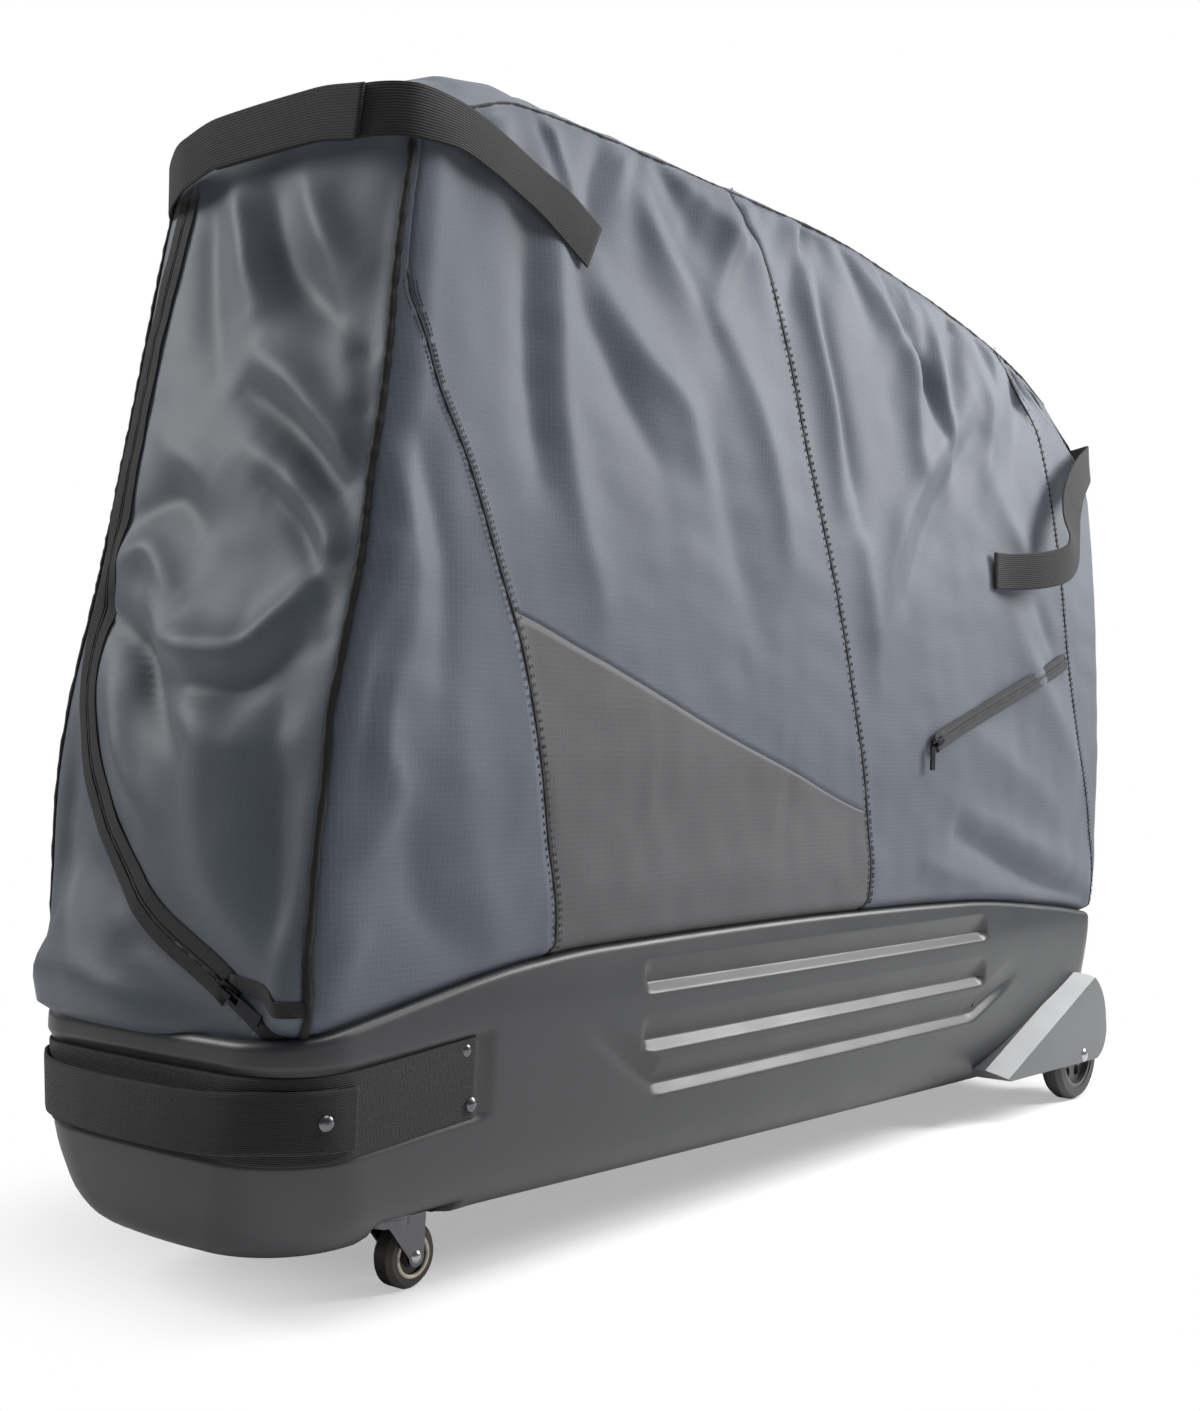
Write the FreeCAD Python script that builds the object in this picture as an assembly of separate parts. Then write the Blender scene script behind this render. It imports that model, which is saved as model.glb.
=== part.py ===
import FreeCAD, Part
import math
import os

from FreeCAD import Vector

# Bike travel case: a moulded tub on two fixed wheels and two casters, under a sewn cover that unzips.
# Frame: +X towards the fixed wheels, -Y the side whose panel folds down, +Z up, origin on the floor.

# Tub
tub_wall = 4.0
tub_slope = 0.9              # degrees, the floor drops towards the fixed wheels
tub_rows = [                 # height, front, rear, half width, front and rear corner radius, share of the slope
    (44, -572, 590, 98, 60, 60, 1.0),
    (48, -597, 606, 117, 75, 75, 1.0),
    (60, -614, 616, 133, 82, 80, 0.9),
    (82, -626, 624, 145, 82, 76, 0.7),
    (112, -633, 629, 152, 76, 66, 0.5),
    (150, -635, 633, 156, 70, 54, 0.25),
    (200, -633, 637, 158, 62, 42, 0.0),
    (262, -626, 640, 157, 56, 36, 0.0),
]
tub_bows = (2, 5, 4)         # how far the front, rear and side edges swell in plan
rim_line = [(-660, 207), (-500, 225), (-300, 242), (0, 246), (300, 242), (500, 226), (660, 206)]

# Louvre grooves in the tub's sides: ledge height, top height, front end, rear end
grooves = [(206, 230, -254, 339), (158, 184, -256, 335), (120, 146, -239, 317)]
groove_depth = 8.0
groove_ledge = 4.0
groove_legs = [((-239, 120), (-336, 177)), ((317, 120), (423, 161))]

# Strap channel round the tub's front
channel_low = 129.0
channel_high = 197.0
channel_end = -444.0
channel_depth = 2.4

# Cover
cloth = 2.0
bag_corner = 30.0
bag_bows = (8, 6, 3)
bag_rows = [                 # height, front, rear, near and far half width, rear corner radius
    (190, -617, 621, 147, 147, 34),
    (245, -614.5, 638, 150.5, 152, 34),
    (300, -611, 641, 158, 165, 32),
    (420, -594, 634, 166, 177, 30),
    (540, -565, 630, 165, 178, 30),
    (680, -540, 628, 157, 171, 30),
    (820, -519, 622, 147, 159, 30),
    (940, -500, 606, 132, 142, 30),
]
hem_depth = 12.0
hinge_z = 252.0
part_gap = 0.6

# Seams of the side panels, as height lines from below the rim to above the top
front_corner_seam = [(-606, 150), (-605, 250), (-600, 331), (-574, 466), (-538, 643), (-508, 847), (-500, 970)]
gusset_seam = [(-362, 150), (-367, 240), (-382, 324), (-399, 400), (-447, 539), (-504, 662), (-580, 800)]
centre_seam = [(95, 150), (91, 247), (81, 336), (32, 507), (-26, 690), (-76, 844), (-140, 970)]
rear_seam = [(617, 150), (615, 240), (596, 325), (553, 420), (524, 536), (505, 645), (472, 764), (388, 841), (260, 970)]
block_line = [(-460, 507), (-331, 471), (-198, 427), (100, 339)]

# Top edge of the side panels and the crowned top panel: x, edge height, crown
top_edge = [(-560, 790), (-512, 846), (-452, 879), (-400, 897), (-300, 901), (0, 901), (226, 878), (363, 853),
            (449, 829), (538, 785), (600, 722), (634, 640), (690, 430)]
crown_rows = [
    (-508, 849, 16),
    (-476, 867, 38),
    (-430, 888, 36),
    (-355, 900, 30),
    (-100, 901, 28),
    (120, 893, 28),
    (300, 866, 28),
    (420, 838, 27),
    (530, 790, 27),
    (592, 732, 26),
    (622, 675, 18),
    (634, 640, 8),
]

# Main zip on the front and the rear face, from the near corner to the far top
main_zip = [(-150, 201), (-79, 235), (0, 277), (78, 350), (116, 405), (137, 465), (142, 530), (141, 600), (134, 715),
            (116, 827), (96, 970)]
zip_tape = 9.0
zip_lift = 0.4
zip_thick = 1.4
slider_lift = 2.8
main_slider_start = -86.0     # across the front face
main_slider_end = -30.0

# Pocket zip on the near rear panel
pocket_start = (203, 413)
pocket_end = (516, 512)

# Pads inside the side walls
pad_front = -420.0
pad_rear = 480.0
pad_outer = 148.0
pad_thick = 8.0
pad_top = 740.0

# Carry straps
strap_width = 40.0
strap_thick = 2.2
strap_clear = 2.8            # from a panel's widest line to the strap
strap_lap = 3.0

# Pull handle
pull_low = 133.0
pull_high = 193.0
grip_reach = 652.0
grip_thick = 2.6
grip_corner = ((-566.5, -88.5), 68.8)      # the corner's centre in plan and the webbing's radius there
grip_turns = (-95, -115, -135, -150)       # where the grip lies on the corner, in degrees
webbing_rivets = [(-463, 181), (-457, 141)]
grip_rivet_height = 148.0
grip_rivet_turn = -113.0

# Fixed wheels
wheel_x = 561.0
wheel_radius = 52.0
wheel_width = 24.0
wheel_y = 153.0
wheel_axle_radius = 5.0
well_gap = 8.0
well_inner = 125.0
cowl_y = 173.0
cowl_cheek = 4.5
running = 0.05

# Casters
caster_x = -486.0
caster_y = 98.0
caster_trail = 20.0
caster_radius = 24.5
caster_width = 20.0
caster_seat = 66.0
caster_pocket = (42.0, 34.0)     # half length and half width of the pocket in the tub's floor
caster_plate = 3.0
plate_hole = 2.5
rivet_radius = 6.0
king_radius = 4.0
caster_axle_radius = 3.0

# Bike stand inside
rail_low = 84.0
rail_high = 104.0
rail_half = 32.0
rail_front = -430.0
rail_rear = 450.0
slot_half = 7.0
mount_x = -300.0
cradle_x = 130.0
axle_bore = 6.05
axle_height = 300.0

# Hoops that hold the cover up
hoop_radius = 4.0
hoop_places = [(-455, 134, 842), (330, 134, 832)]
socket_inner = 126.0


def box(low, high):
    return Part.makeBox(high[0] - low[0], high[1] - low[1], high[2] - low[2], Vector(*low))


def rod(radius, start, end):
    axis = Vector(*end) - Vector(*start)
    return Part.makeCylinder(radius, axis.Length, Vector(*start), axis)


def line(a, b):
    return Part.LineSegment(Vector(*a), Vector(*b)).toShape()


def arc(a, b, c):
    return Part.Arc(Vector(*a), Vector(*b), Vector(*c)).toShape()


def spline(points):
    curve = Part.BSplineCurve()
    curve.interpolate([Vector(*p) for p in points])
    return curve.toShape()


def prism(edges, travel):
    wire = Part.Wire(Part.__sortEdges__(edges))
    return Part.Face(wire).extrude(Vector(*travel))


def polygon(points, travel):
    corners = [Vector(*p) for p in points]
    return Part.Face(Part.makePolygon(corners + corners[:1])).extrude(Vector(*travel))


def mirrored(shape):
    return shape.mirror(Vector(0, 0, 0), Vector(0, 1, 0))


def plan_outline(z, front, rear, near, far, corners, bows):
    # A rounded oblong seen from above, with its own half width on each side and corner radius at each end
    front_bow, rear_bow, side_bow = bows
    fore, aft = corners
    fore_cut, aft_cut = [radius * (1 - math.sqrt(0.5)) for radius in corners]
    along, across = (front + rear) / 2, (far - near) / 2
    edges = [
        arc((front, fore - near, z), (front - front_bow, across, z), (front, far - fore, z)),
        arc((front, far - fore, z), (front + fore_cut, far - fore_cut, z), (front + fore, far, z)),
        arc((front + fore, far, z), (along, far + side_bow, z), (rear - aft, far, z)),
        arc((rear - aft, far, z), (rear - aft_cut, far - aft_cut, z), (rear, far - aft, z)),
        arc((rear, far - aft, z), (rear + rear_bow, across, z), (rear, aft - near, z)),
        arc((rear, aft - near, z), (rear - aft_cut, aft_cut - near, z), (rear - aft, -near, z)),
        arc((rear - aft, -near, z), (along, -near - side_bow, z), (front + fore, -near, z)),
        arc((front + fore, -near, z), (front + fore_cut, fore_cut - near, z), (front, fore - near, z)),
    ]
    return Part.Wire(edges)


def tub_loft(inset):
    wires = []
    for z, front, rear, half, fore, aft, slope in tub_rows:
        lift = inset if z == tub_rows[0][0] else 0
        side = half - inset
        corners = (fore - inset, aft - inset)
        wire = plan_outline(z + lift, front + inset, rear - inset, side, side, corners, tub_bows)
        wire.rotate(Vector(0, 0, z), Vector(0, 1, 0), tub_slope * slope)
        wires.append(wire)
    return Part.makeLoft(wires, True)


def bag_loft(inset):
    wires = []
    for z, front, rear, near, far, aft in bag_rows:
        corners = (bag_corner - inset, aft - inset)
        wires.append(plan_outline(z, front + inset, rear - inset, near - inset, far - inset, corners, bag_bows))
    return Part.makeLoft(wires, True)


def bag_half(z, side):
    # The cover's half width at a height, on the near side or the far side
    column = 3 if side < 0 else 4
    for low, high in zip(bag_rows, bag_rows[1:]):
        if z <= high[0]:
            share = (z - low[0]) / (high[0] - low[0])
            return low[column] + share * (high[column] - low[column])
    return bag_rows[-1][column]


def below(points, lift=0.0):
    # Everything under a height line that runs along X, across the whole width and on past both its ends
    edge = [(x, -400, z + lift) for x, z in points]
    ends = [(900, -400, edge[-1][2]), (900, -400, -100), (-900, -400, -100), (-900, -400, edge[0][2])]
    corners = [edge[-1]] + ends + [edge[0]]
    edges = [spline(edge)] + [line(a, b) for a, b in zip(corners, corners[1:])]
    return prism(edges, (0, 800, 0))


def ahead_of(points, shift=0.0):
    # Everything in front of a seam, across the whole width
    edge = [(x + shift, -400, z) for x, z in points]
    first, last = edge[0], edge[-1]
    edges = [spline(edge), line(last, (-900, -400, last[2])), line((-900, -400, last[2]), (-900, -400, first[2])),
             line((-900, -400, first[2]), first)]
    return prism(edges, (0, 800, 0))


def zip_curve(shift):
    # The zip line in the plane of the end faces, moved sideways by shift towards the near top
    curve = Part.BSplineCurve()
    curve.interpolate([Vector(0, y, z) for y, z in main_zip])
    points = []
    for y, z in main_zip:
        along = curve.tangent(curve.parameter(Vector(0, y, z)))[0]
        points.append((y - along.z * shift, z + along.y * shift))
    return points


def zip_height(y):
    # Height of the main zip where it passes a place across the front face
    curve = Part.BSplineCurve()
    curve.interpolate([Vector(0, y, z) for y, z in main_zip])
    low, high = curve.FirstParameter, curve.LastParameter
    while high - low > 1e-7:
        middle = (low + high) / 2
        low, high = (middle, high) if curve.value(middle).y < y else (low, middle)
    return curve.value(low).z


def far_of_zip(shift, x_start, x_end):
    # Everything on the far and lower side of the zip line, between two places along X
    edge = [(x_start, y, z) for y, z in zip_curve(shift)]
    first, last = edge[0], edge[-1]
    edges = [spline(edge), line(last, (x_start, 400, last[2])), line((x_start, 400, last[2]), (x_start, 400, first[2])),
             line((x_start, 400, first[2]), first)]
    return prism(edges, (x_end - x_start, 0, 0))


def groove_tool(ledge, top, front, rear, grow):
    # A louvre: the wall leans in going down and ends on a bright ledge
    wall = -tub_rows[5][3]
    section = [(front - grow, wall - 20, top + grow), (front - grow, wall - 5 + grow, top + grow),
               (front - grow, wall + groove_depth + grow, ledge + groove_ledge),
               (front - grow, wall + groove_depth + grow, ledge - grow * 0.4),
               (front - grow, wall - 20, ledge - groove_ledge - grow)]
    return polygon(section, (rear - front + 2 * grow, 0, 0))


def leg_tool(start, end, grow):
    # The slanting end of the lowest groove, fading out as it climbs
    wall = -tub_rows[5][3]
    rings = []
    for (x, z), depth, height in ((start, groove_depth, 22), (end, 0.5, 10)):
        corners = [Vector(x, wall - 20, z + height + grow), Vector(x, wall + depth + grow, z + groove_ledge),
                   Vector(x, wall + depth + grow, z - grow * 0.4), Vector(x, wall - 20, z - groove_ledge - grow)]
        rings.append(Part.makePolygon(corners + corners[:1]))
    return Part.makeLoft(rings, True, True)


def wheel_well(grow):
    radius = wheel_radius + well_gap + grow
    inner = grow - well_inner
    round_part = rod(radius, (wheel_x, -400, wheel_radius), (wheel_x, inner, wheel_radius))
    return round_part.fuse(box((wheel_x - radius, -400, -50), (wheel_x + radius, inner, wheel_radius)))


def caster_seat_tool(grow):
    half_length = caster_pocket[0] + grow
    half_width = caster_pocket[1] + grow
    low = (caster_x - half_length, -caster_y - half_width, 0)
    return box(low, (caster_x + half_length, -caster_y + half_width, caster_seat + grow))


def tub_recesses(grow):
    tools = [groove_tool(*groove, grow) for groove in grooves]
    tools += [leg_tool(start, end, grow) for start, end in groove_legs]
    tools += [wheel_well(grow), caster_seat_tool(grow)]
    return tools + [mirrored(tool) for tool in tools]


def make_tub():
    inside = tub_loft(tub_wall)
    outside = tub_loft(0).common(below(rim_line))
    for tool in tub_recesses(tub_wall):
        inside = inside.cut(tool)
    for tool in tub_recesses(0):
        outside = outside.cut(tool)
    band = box((-900, -400, channel_low), (channel_end, 400, channel_high)).cut(tub_loft(channel_depth))
    tub = outside.cut(band).cut(inside)
    for side in (-1, 1):
        for dx, dy in plate_holes():
            x, y = caster_x + dx, side * caster_y + dy
            tub = tub.cut(rod(plate_hole, (x, y, 40), (x, y, 100)))
            tub = tub.cut(rod(rivet_radius, (x, y, caster_seat + tub_wall), (x, y, 100)))
    return tub, inside


def wall_ring(start, end):
    return bag_loft(start).cut(bag_loft(end))


def make_cover():
    # Cuts one sewn wall into its panels; the near side, top and upper ends fold down together
    parts = {}
    ring = wall_ring(0, cloth).common(below(top_edge)).cut(below(rim_line, -hem_depth))
    front = ring.common(ahead_of(front_corner_seam))
    rest = ring.cut(ahead_of(front_corner_seam))
    rear = rest.cut(ahead_of(rear_seam))
    sides = rest.common(ahead_of(rear_seam))
    near = sides.common(box((-900, -400, 0), (900, 0, 1000)))
    far = sides.common(box((-900, 0, 0), (900, 400, 1000)))
    above_hinge = box((-900, -400, hinge_z + part_gap), (900, 0, 1000))
    parts["near_hem"] = near.common(box((-900, -400, 0), (900, 0, hinge_z))).common(
        ahead_of(rear_seam, -part_gap)).cut(ahead_of(front_corner_seam, part_gap))
    for name, wall in (("near", near.common(above_hinge)), ("far", far)):
        parts[name + "_front_gusset"] = wall.common(ahead_of(gusset_seam))
        wall = wall.cut(ahead_of(gusset_seam))
        centre = wall.common(ahead_of(centre_seam))
        parts[name + "_lower_block"] = centre.common(below(block_line))
        parts[name + "_centre_panel"] = centre.cut(below(block_line))
        parts[name + "_rear_panel"] = wall.cut(ahead_of(centre_seam))
    for name, wall, start, end in (("front", front, -900, -300), ("rear", rear, 300, 900)):
        parts[name + "_lower_panel"] = wall.common(far_of_zip(-part_gap / 2, start, end))
        upper = wall.cut(far_of_zip(part_gap / 2, start, end))
        parts[name + "_upper_panel"] = upper.cut(below(rim_line, 2.0))
    return parts


def crown_loft(inset):
    # Cross sections of the top: rounded shoulders with a flat arch between them
    wires = []
    last = len(crown_rows) - 1
    for count, (x, edge, crown) in enumerate(crown_rows):
        x += inset if count == 0 else -inset if count == last else 0
        base = edge + part_gap
        near = inset + cloth - bag_half(edge, -1)
        far = bag_half(edge, 1) - cloth - inset
        width = far - near
        rise = crown - inset

        def at(share, height):
            return (x, near + share * width, base + height * rise)

        wires.append(Part.Wire([
            arc(at(0, 0), at(0.05, 0.35), at(0.14, 0.73)), arc(at(0.14, 0.73), at(0.5, 1), at(0.86, 0.73)),
            arc(at(0.86, 0.73), at(0.95, 0.35), at(1, 0)), line(at(1, 0), (x, far, base - 30)),
            line((x, far, base - 30), (x, near, base - 30)), line((x, near, base - 30), at(0, 0))]))
    return Part.makeLoft(wires, True)


def make_top():
    shell = crown_loft(0).cut(crown_loft(cloth))
    return shell.cut(below(top_edge, part_gap))


def make_main_zip():
    # One tape on each side of the zip line, on the front and on the rear face
    skin = wall_ring(-zip_lift - zip_thick, -zip_lift).common(below(top_edge)).cut(below(rim_line, 2.0))
    fixed, moving = [], []
    for start, end, near_end in ((-900, -450, -124), (450, 900, -90)):
        face = skin.common(box((start, near_end, 0), (end, 400, 1000)))
        fixed.append(face.common(far_of_zip(-part_gap / 2, start, end)).cut(far_of_zip(-zip_tape, start, end)))
        moving.append(face.common(far_of_zip(zip_tape, start, end)).cut(far_of_zip(part_gap / 2, start, end)))
    return Part.makeCompound(fixed), Part.makeCompound(moving)


def ribbon(stations, width, thick):
    # A flat band standing on edge: each station is a point and the outward direction in plan, in degrees
    rings = []
    for x, y, z, turn in stations:
        out = Vector(math.cos(math.radians(turn)), math.sin(math.radians(turn)), 0)
        middle = Vector(x, y, z)
        up = Vector(0, 0, width / 2)
        corners = [middle - up, middle + up, middle + up + out * thick, middle - up + out * thick]
        rings.append(Part.makePolygon(corners + corners[:1]))
    lengths = [Part.makeLoft(list(pair), True, True) for pair in zip(rings, rings[1:])]
    return lengths[0].multiFuse(lengths[1:])


def lapped(stations):
    return [(x + strap_lap * math.cos(math.radians(turn)), y + strap_lap * math.sin(math.radians(turn)), z, turn)
            for x, y, z, turn in stations]


def make_front_straps():
    # Each half is sewn to its side, goes round the corner and laps over the other half on the front
    sewn = [(-331, 798, -90), (-382, 823, -91), (-433, 844, -95), (-480, 856, -105)]
    clear = bag_bows[2] + strap_clear
    near = [(x, -clear - bag_half(z, -1), z, turn) for x, z, turn in sewn]
    far = [(x, -clear - strap_clear - bag_half(z, 1), z, turn) for x, z, turn in sewn]
    near += [(-519, -141, 858, -135), (-535, -105, 859, -180), (-535, -60, 866, -180), (-535, 60, 869, -180)]
    far += lapped([(-519, -152, 860, -135), (-535, -112, 862, -180), (-535, -60, 869, -180), (-535, 60, 866, -180),
                   (-535, 108, 858, -180)])
    return ribbon(near, strap_width, strap_thick), mirrored(ribbon(far, strap_width, strap_thick))


def make_rear_straps():
    # The same on the rear, with a slack loop beside the sewn end
    sewn = [(335, 600, -95, 6), (355, 604, -115, 9), (395, 622, -95, 24), (470, 672, -75, 24), (560, 728, -70, 11)]
    near = [(x, -bag_half(z, -1) - out, z, turn) for x, z, turn, out in sewn]
    far = [(x, -bag_half(z, 1) - out, z, turn) for x, z, turn, out in sewn]
    near += [(628, -146, 748, -45), (645, -100, 752, 0), (645, 50, 752, 0)]
    far += lapped([(631, -157, 748, -45), (645, -105, 752, 0), (645, 50, 752, 0)])
    return ribbon(near, strap_width, strap_thick), mirrored(ribbon(far, strap_width, strap_thick))


def make_pull_handle():
    # Webbing lies in the channel; the grip strap over it stands off the tub's front as a hand hold
    reach = box((-900, -400, pull_low), (channel_end - 3, 400, pull_high))
    base = tub_loft(0.3).cut(tub_loft(channel_depth - 0.1)).common(reach)
    rise = (pull_low + pull_high) / 2
    stations = []
    for turn in grip_turns:
        x, y = grip_point(turn)
        stations.append((x, y, rise, turn))
    stations += [(-641, -92, rise, -160), (-648, -45, rise, -172), (grip_thick - grip_reach, 0, rise, -180)]
    half = ribbon(stations, pull_high - pull_low - 4, grip_thick)
    return base, half.fuse(mirrored(half)).removeSplitter()


def grip_point(turn, lift=0.0):
    # A place on the tub's near front corner at the grip's height, given by its direction in plan
    centre, radius = grip_corner
    angle = math.radians(turn)
    return centre[0] + (radius + lift) * math.cos(angle), centre[1] + (radius + lift) * math.sin(angle)


def rivet(point, out, radius=rivet_radius, height=2.2):
    head = Part.makeSphere(radius * 1.25, Vector(0, 0, height - radius * 1.25), Vector(0, 0, 1))
    body = head.common(Part.makeCylinder(radius, height))
    body.Placement = FreeCAD.Placement(Vector(*point), FreeCAD.Rotation(Vector(0, 0, 1), Vector(*out)))
    return body


def make_cowl(tub_skin):
    # A moulded wedge on the tub's lower rear corner, bevelled along its top, hollow over the wheel
    inner = 0.3 - well_inner
    outline = [line((348, inner, 60), (563, inner, 147)), arc((563, inner, 147), (607, inner, 126), (621, inner, 88)),
               arc((621, inner, 88), (616, inner, 58), (594, inner, 44)), line((594, inner, 44), (372, inner, 47)),
               line((372, inner, 47), (348, inner, 60))]
    solid = prism(outline, (0, -cowl_y - inner, 0))
    top_slope = math.atan2(147 - 60, 563 - 348)
    bevel = polygon([(300, -cowl_y - 1, 22), (300, -cowl_y - 1, 90), (300, -150, 90), (300, -150, 45)],
                    (480 * math.cos(top_slope), 0, 480 * math.sin(top_slope)))
    solid = solid.cut(bevel)
    room = wheel_radius + 4
    outer_cheek = cowl_cheek - cowl_y
    inner_cheek = inner - 1.5 * cowl_cheek
    slot = rod(room, (wheel_x, inner_cheek, wheel_radius), (wheel_x, outer_cheek, wheel_radius))
    low = box((wheel_x - room, outer_cheek, 0), (wheel_x + room, inner_cheek, wheel_radius))
    solid = solid.cut(slot).cut(low).cut(tub_skin.cut(wheel_well(-0.3)))
    return solid.cut(rod(wheel_axle_radius, (wheel_x, -300, wheel_radius), (wheel_x, 0, wheel_radius)))


def make_rear_axle():
    shank = rod(wheel_axle_radius, (wheel_x, -well_inner, wheel_radius), (wheel_x, -cowl_y, wheel_radius))
    head = rivet((wheel_x, -cowl_y, wheel_radius), (0, -1, 0), 9.0, 3.0)
    return shank.fuse(head)


def turned(profile, centre):
    # A ring about the Y axis: profile points are radius and place along the axis
    points = [Vector(centre[0] + r, centre[1] + y, centre[2]) for r, y in profile]
    face = Part.Face(Part.makePolygon(points + points[:1]))
    return face.revolve(Vector(*centre), Vector(0, 1, 0), 360)


def make_rear_wheel():
    half = wheel_width / 2
    centre = (wheel_x, -wheel_y, wheel_radius)
    rim = wheel_radius - 14
    tyre = turned([(rim, -half), (wheel_radius - 4, -half), (wheel_radius, -half + 6), (wheel_radius, half - 6),
                   (wheel_radius - 4, half), (rim, half)], centre)
    hub = turned([(wheel_axle_radius + running, -half), (12, -half), (14, -4), (rim - 5, -4), (rim - 4, -half + 1),
                  (rim, -half + 1), (rim, half - 1), (rim - 4, half - 1), (rim - 5, 4), (14, 4), (12, half),
                  (wheel_axle_radius + running, half)], centre)
    for spoke in range(6):
        angle = math.radians(60 * spoke)
        x = wheel_x + 23.5 * math.cos(angle)
        z = wheel_radius + 23.5 * math.sin(angle)
        hub = hub.cut(rod(6, (x, -wheel_y - half, z), (x, -wheel_y + half, z)))
    return tyre, hub


def plate_holes():
    return [(dx, dy) for dx in (-29, 29) for dy in (-20, 20)]


def make_caster_plate():
    top = caster_seat
    plate = box((caster_x - 37, -caster_y - 27, top - caster_plate), (caster_x + 37, -caster_y + 27, top))
    for dx, dy in plate_holes():
        plate = plate.cut(rod(2.6, (caster_x + dx, -caster_y + dy, 0), (caster_x + dx, -caster_y + dy, 200)))
    race = rod(19, (caster_x, -caster_y, 57), (caster_x, -caster_y, top - caster_plate))
    king = rod(king_radius, (caster_x, -caster_y, 49.5), (caster_x, -caster_y, 57))
    head = rod(king_radius + 2.5, (caster_x, -caster_y, 47.5), (caster_x, -caster_y, 50.4))
    return plate.fuse([race, king, head])


def make_caster_fork():
    axle_x = caster_x + caster_trail
    low, high = 51.0, 56.4
    crown = rod(18, (caster_x, -caster_y, low), (caster_x, -caster_y, high))
    inner = caster_width / 2 + 0.8
    outer = inner + 3
    fork = crown.fuse(box((caster_x - 4, -caster_y - outer, low), (axle_x + 9, -caster_y + outer, high)))
    for start, end in ((-outer, -inner), (inner, outer)):
        y = -caster_y + start
        cheek = prism([line((caster_x - 13, y, high), (axle_x + 9, y, high)),
                       line((axle_x + 9, y, high), (axle_x + 7.5, y, caster_radius)),
                       arc((axle_x + 7.5, y, caster_radius), (axle_x, y, caster_radius - 7.5),
                           (axle_x - 7.5, y, caster_radius)),
                       line((axle_x - 7.5, y, caster_radius), (caster_x - 13, y, high))], (0, end - start, 0))
        fork = fork.fuse(cheek)
    fork = fork.cut(rod(king_radius + running, (caster_x, -caster_y, 0), (caster_x, -caster_y, 100)))
    return fork.cut(rod(caster_axle_radius, (axle_x, -caster_y - 30, caster_radius),
                        (axle_x, -caster_y + 30, caster_radius)))


def make_caster_axle():
    axle_x = caster_x + caster_trail
    outer = caster_width / 2 + 3.8
    shank = rod(caster_axle_radius, (axle_x, -caster_y - outer, caster_radius), (axle_x, -caster_y + outer, caster_radius))
    near = rivet((axle_x, -caster_y - outer, caster_radius), (0, -1, 0), 5.0, 2.4)
    far = rivet((axle_x, -caster_y + outer, caster_radius), (0, 1, 0), 5.0, 2.4)
    return shank.fuse([near, far])


def make_caster_wheel():
    half = caster_width / 2
    centre = (caster_x + caster_trail, -caster_y, caster_radius)
    bore = caster_axle_radius + running
    return turned([(bore, -half), (8, -half), (9, -half + 3), (15, -half + 3), (16, -half), (21, -half),
                   (caster_radius, -half + 4), (caster_radius, half - 4), (21, half), (16, half), (15, half - 3),
                   (9, half - 3), (8, half), (bore, half)], centre)


def make_rail():
    section = [(rail_front, -rail_half, rail_low), (rail_front, rail_half, rail_low), (rail_front, rail_half, rail_high),
               (rail_front, slot_half, rail_high), (rail_front, slot_half, rail_high - 4),
               (rail_front, slot_half + 8, rail_high - 4), (rail_front, slot_half + 8, rail_high - 12),
               (rail_front, -slot_half - 8, rail_high - 12), (rail_front, -slot_half - 8, rail_high - 4),
               (rail_front, -slot_half, rail_high - 4), (rail_front, -slot_half, rail_high),
               (rail_front, -rail_half, rail_high)]
    return polygon(section, (rail_rear - rail_front, 0, 0))


def make_rail_feet(inside):
    feet = []
    for x in (rail_front + 60, rail_rear - 60):
        feet.append(box((x - 30, -rail_half - 18, 20), (x + 30, rail_half + 18, rail_low)).common(inside))
    return Part.makeCompound(feet)


def slot_key(x):
    low = rail_high - 11.6
    wide = box((x - 26, -slot_half - 7.6, low), (x + 26, slot_half + 7.6, rail_high - 4.4))
    return wide.fuse(box((x - 26, -slot_half + 0.4, low), (x + 26, slot_half - 0.4, rail_high + 1)))


def knob_bore(x, z):
    return rod(4 + running, (x, -60, z), (x, -20, z))


def make_fork_mount():
    # A foot on the rail carries a cross tube for the fork's axle
    foot = box((mount_x - 34, -rail_half, rail_high + 0.4), (mount_x + 34, rail_half, rail_high + 26))
    post = polygon([(mount_x - 30, -12, rail_high + 20), (mount_x + 30, -12, rail_high + 20),
                    (mount_x + 13, -12, axle_height), (mount_x - 13, -12, axle_height)], (0, 24, 0))
    tube = rod(14, (mount_x, -50, axle_height), (mount_x, 50, axle_height))
    mount = foot.fuse([post, tube, slot_key(mount_x)])
    mount = mount.cut(rod(axle_bore, (mount_x, -80, axle_height), (mount_x, 80, axle_height)))
    return mount.cut(knob_bore(mount_x, rail_high + 13))


def make_cradle():
    # A block on the rail with a hollow that takes the bottom bracket shell
    body = box((cradle_x - 40, -30, rail_high + 0.4), (cradle_x + 40, 30, rail_high + 46))
    body = body.fuse(slot_key(cradle_x))
    body = body.cut(rod(26, (cradle_x, -80, rail_high + 60), (cradle_x, 80, rail_high + 60)))
    return body.cut(knob_bore(cradle_x, rail_high + 13))


def make_saddle_pad():
    ring = rod(26, (cradle_x, -30, rail_high + 60), (cradle_x, 30, rail_high + 60))
    ring = ring.cut(rod(22, (cradle_x, -80, rail_high + 60), (cradle_x, 80, rail_high + 60)))
    return ring.common(box((cradle_x - 40, -80, 0), (cradle_x + 40, 80, rail_high + 46)))


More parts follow.
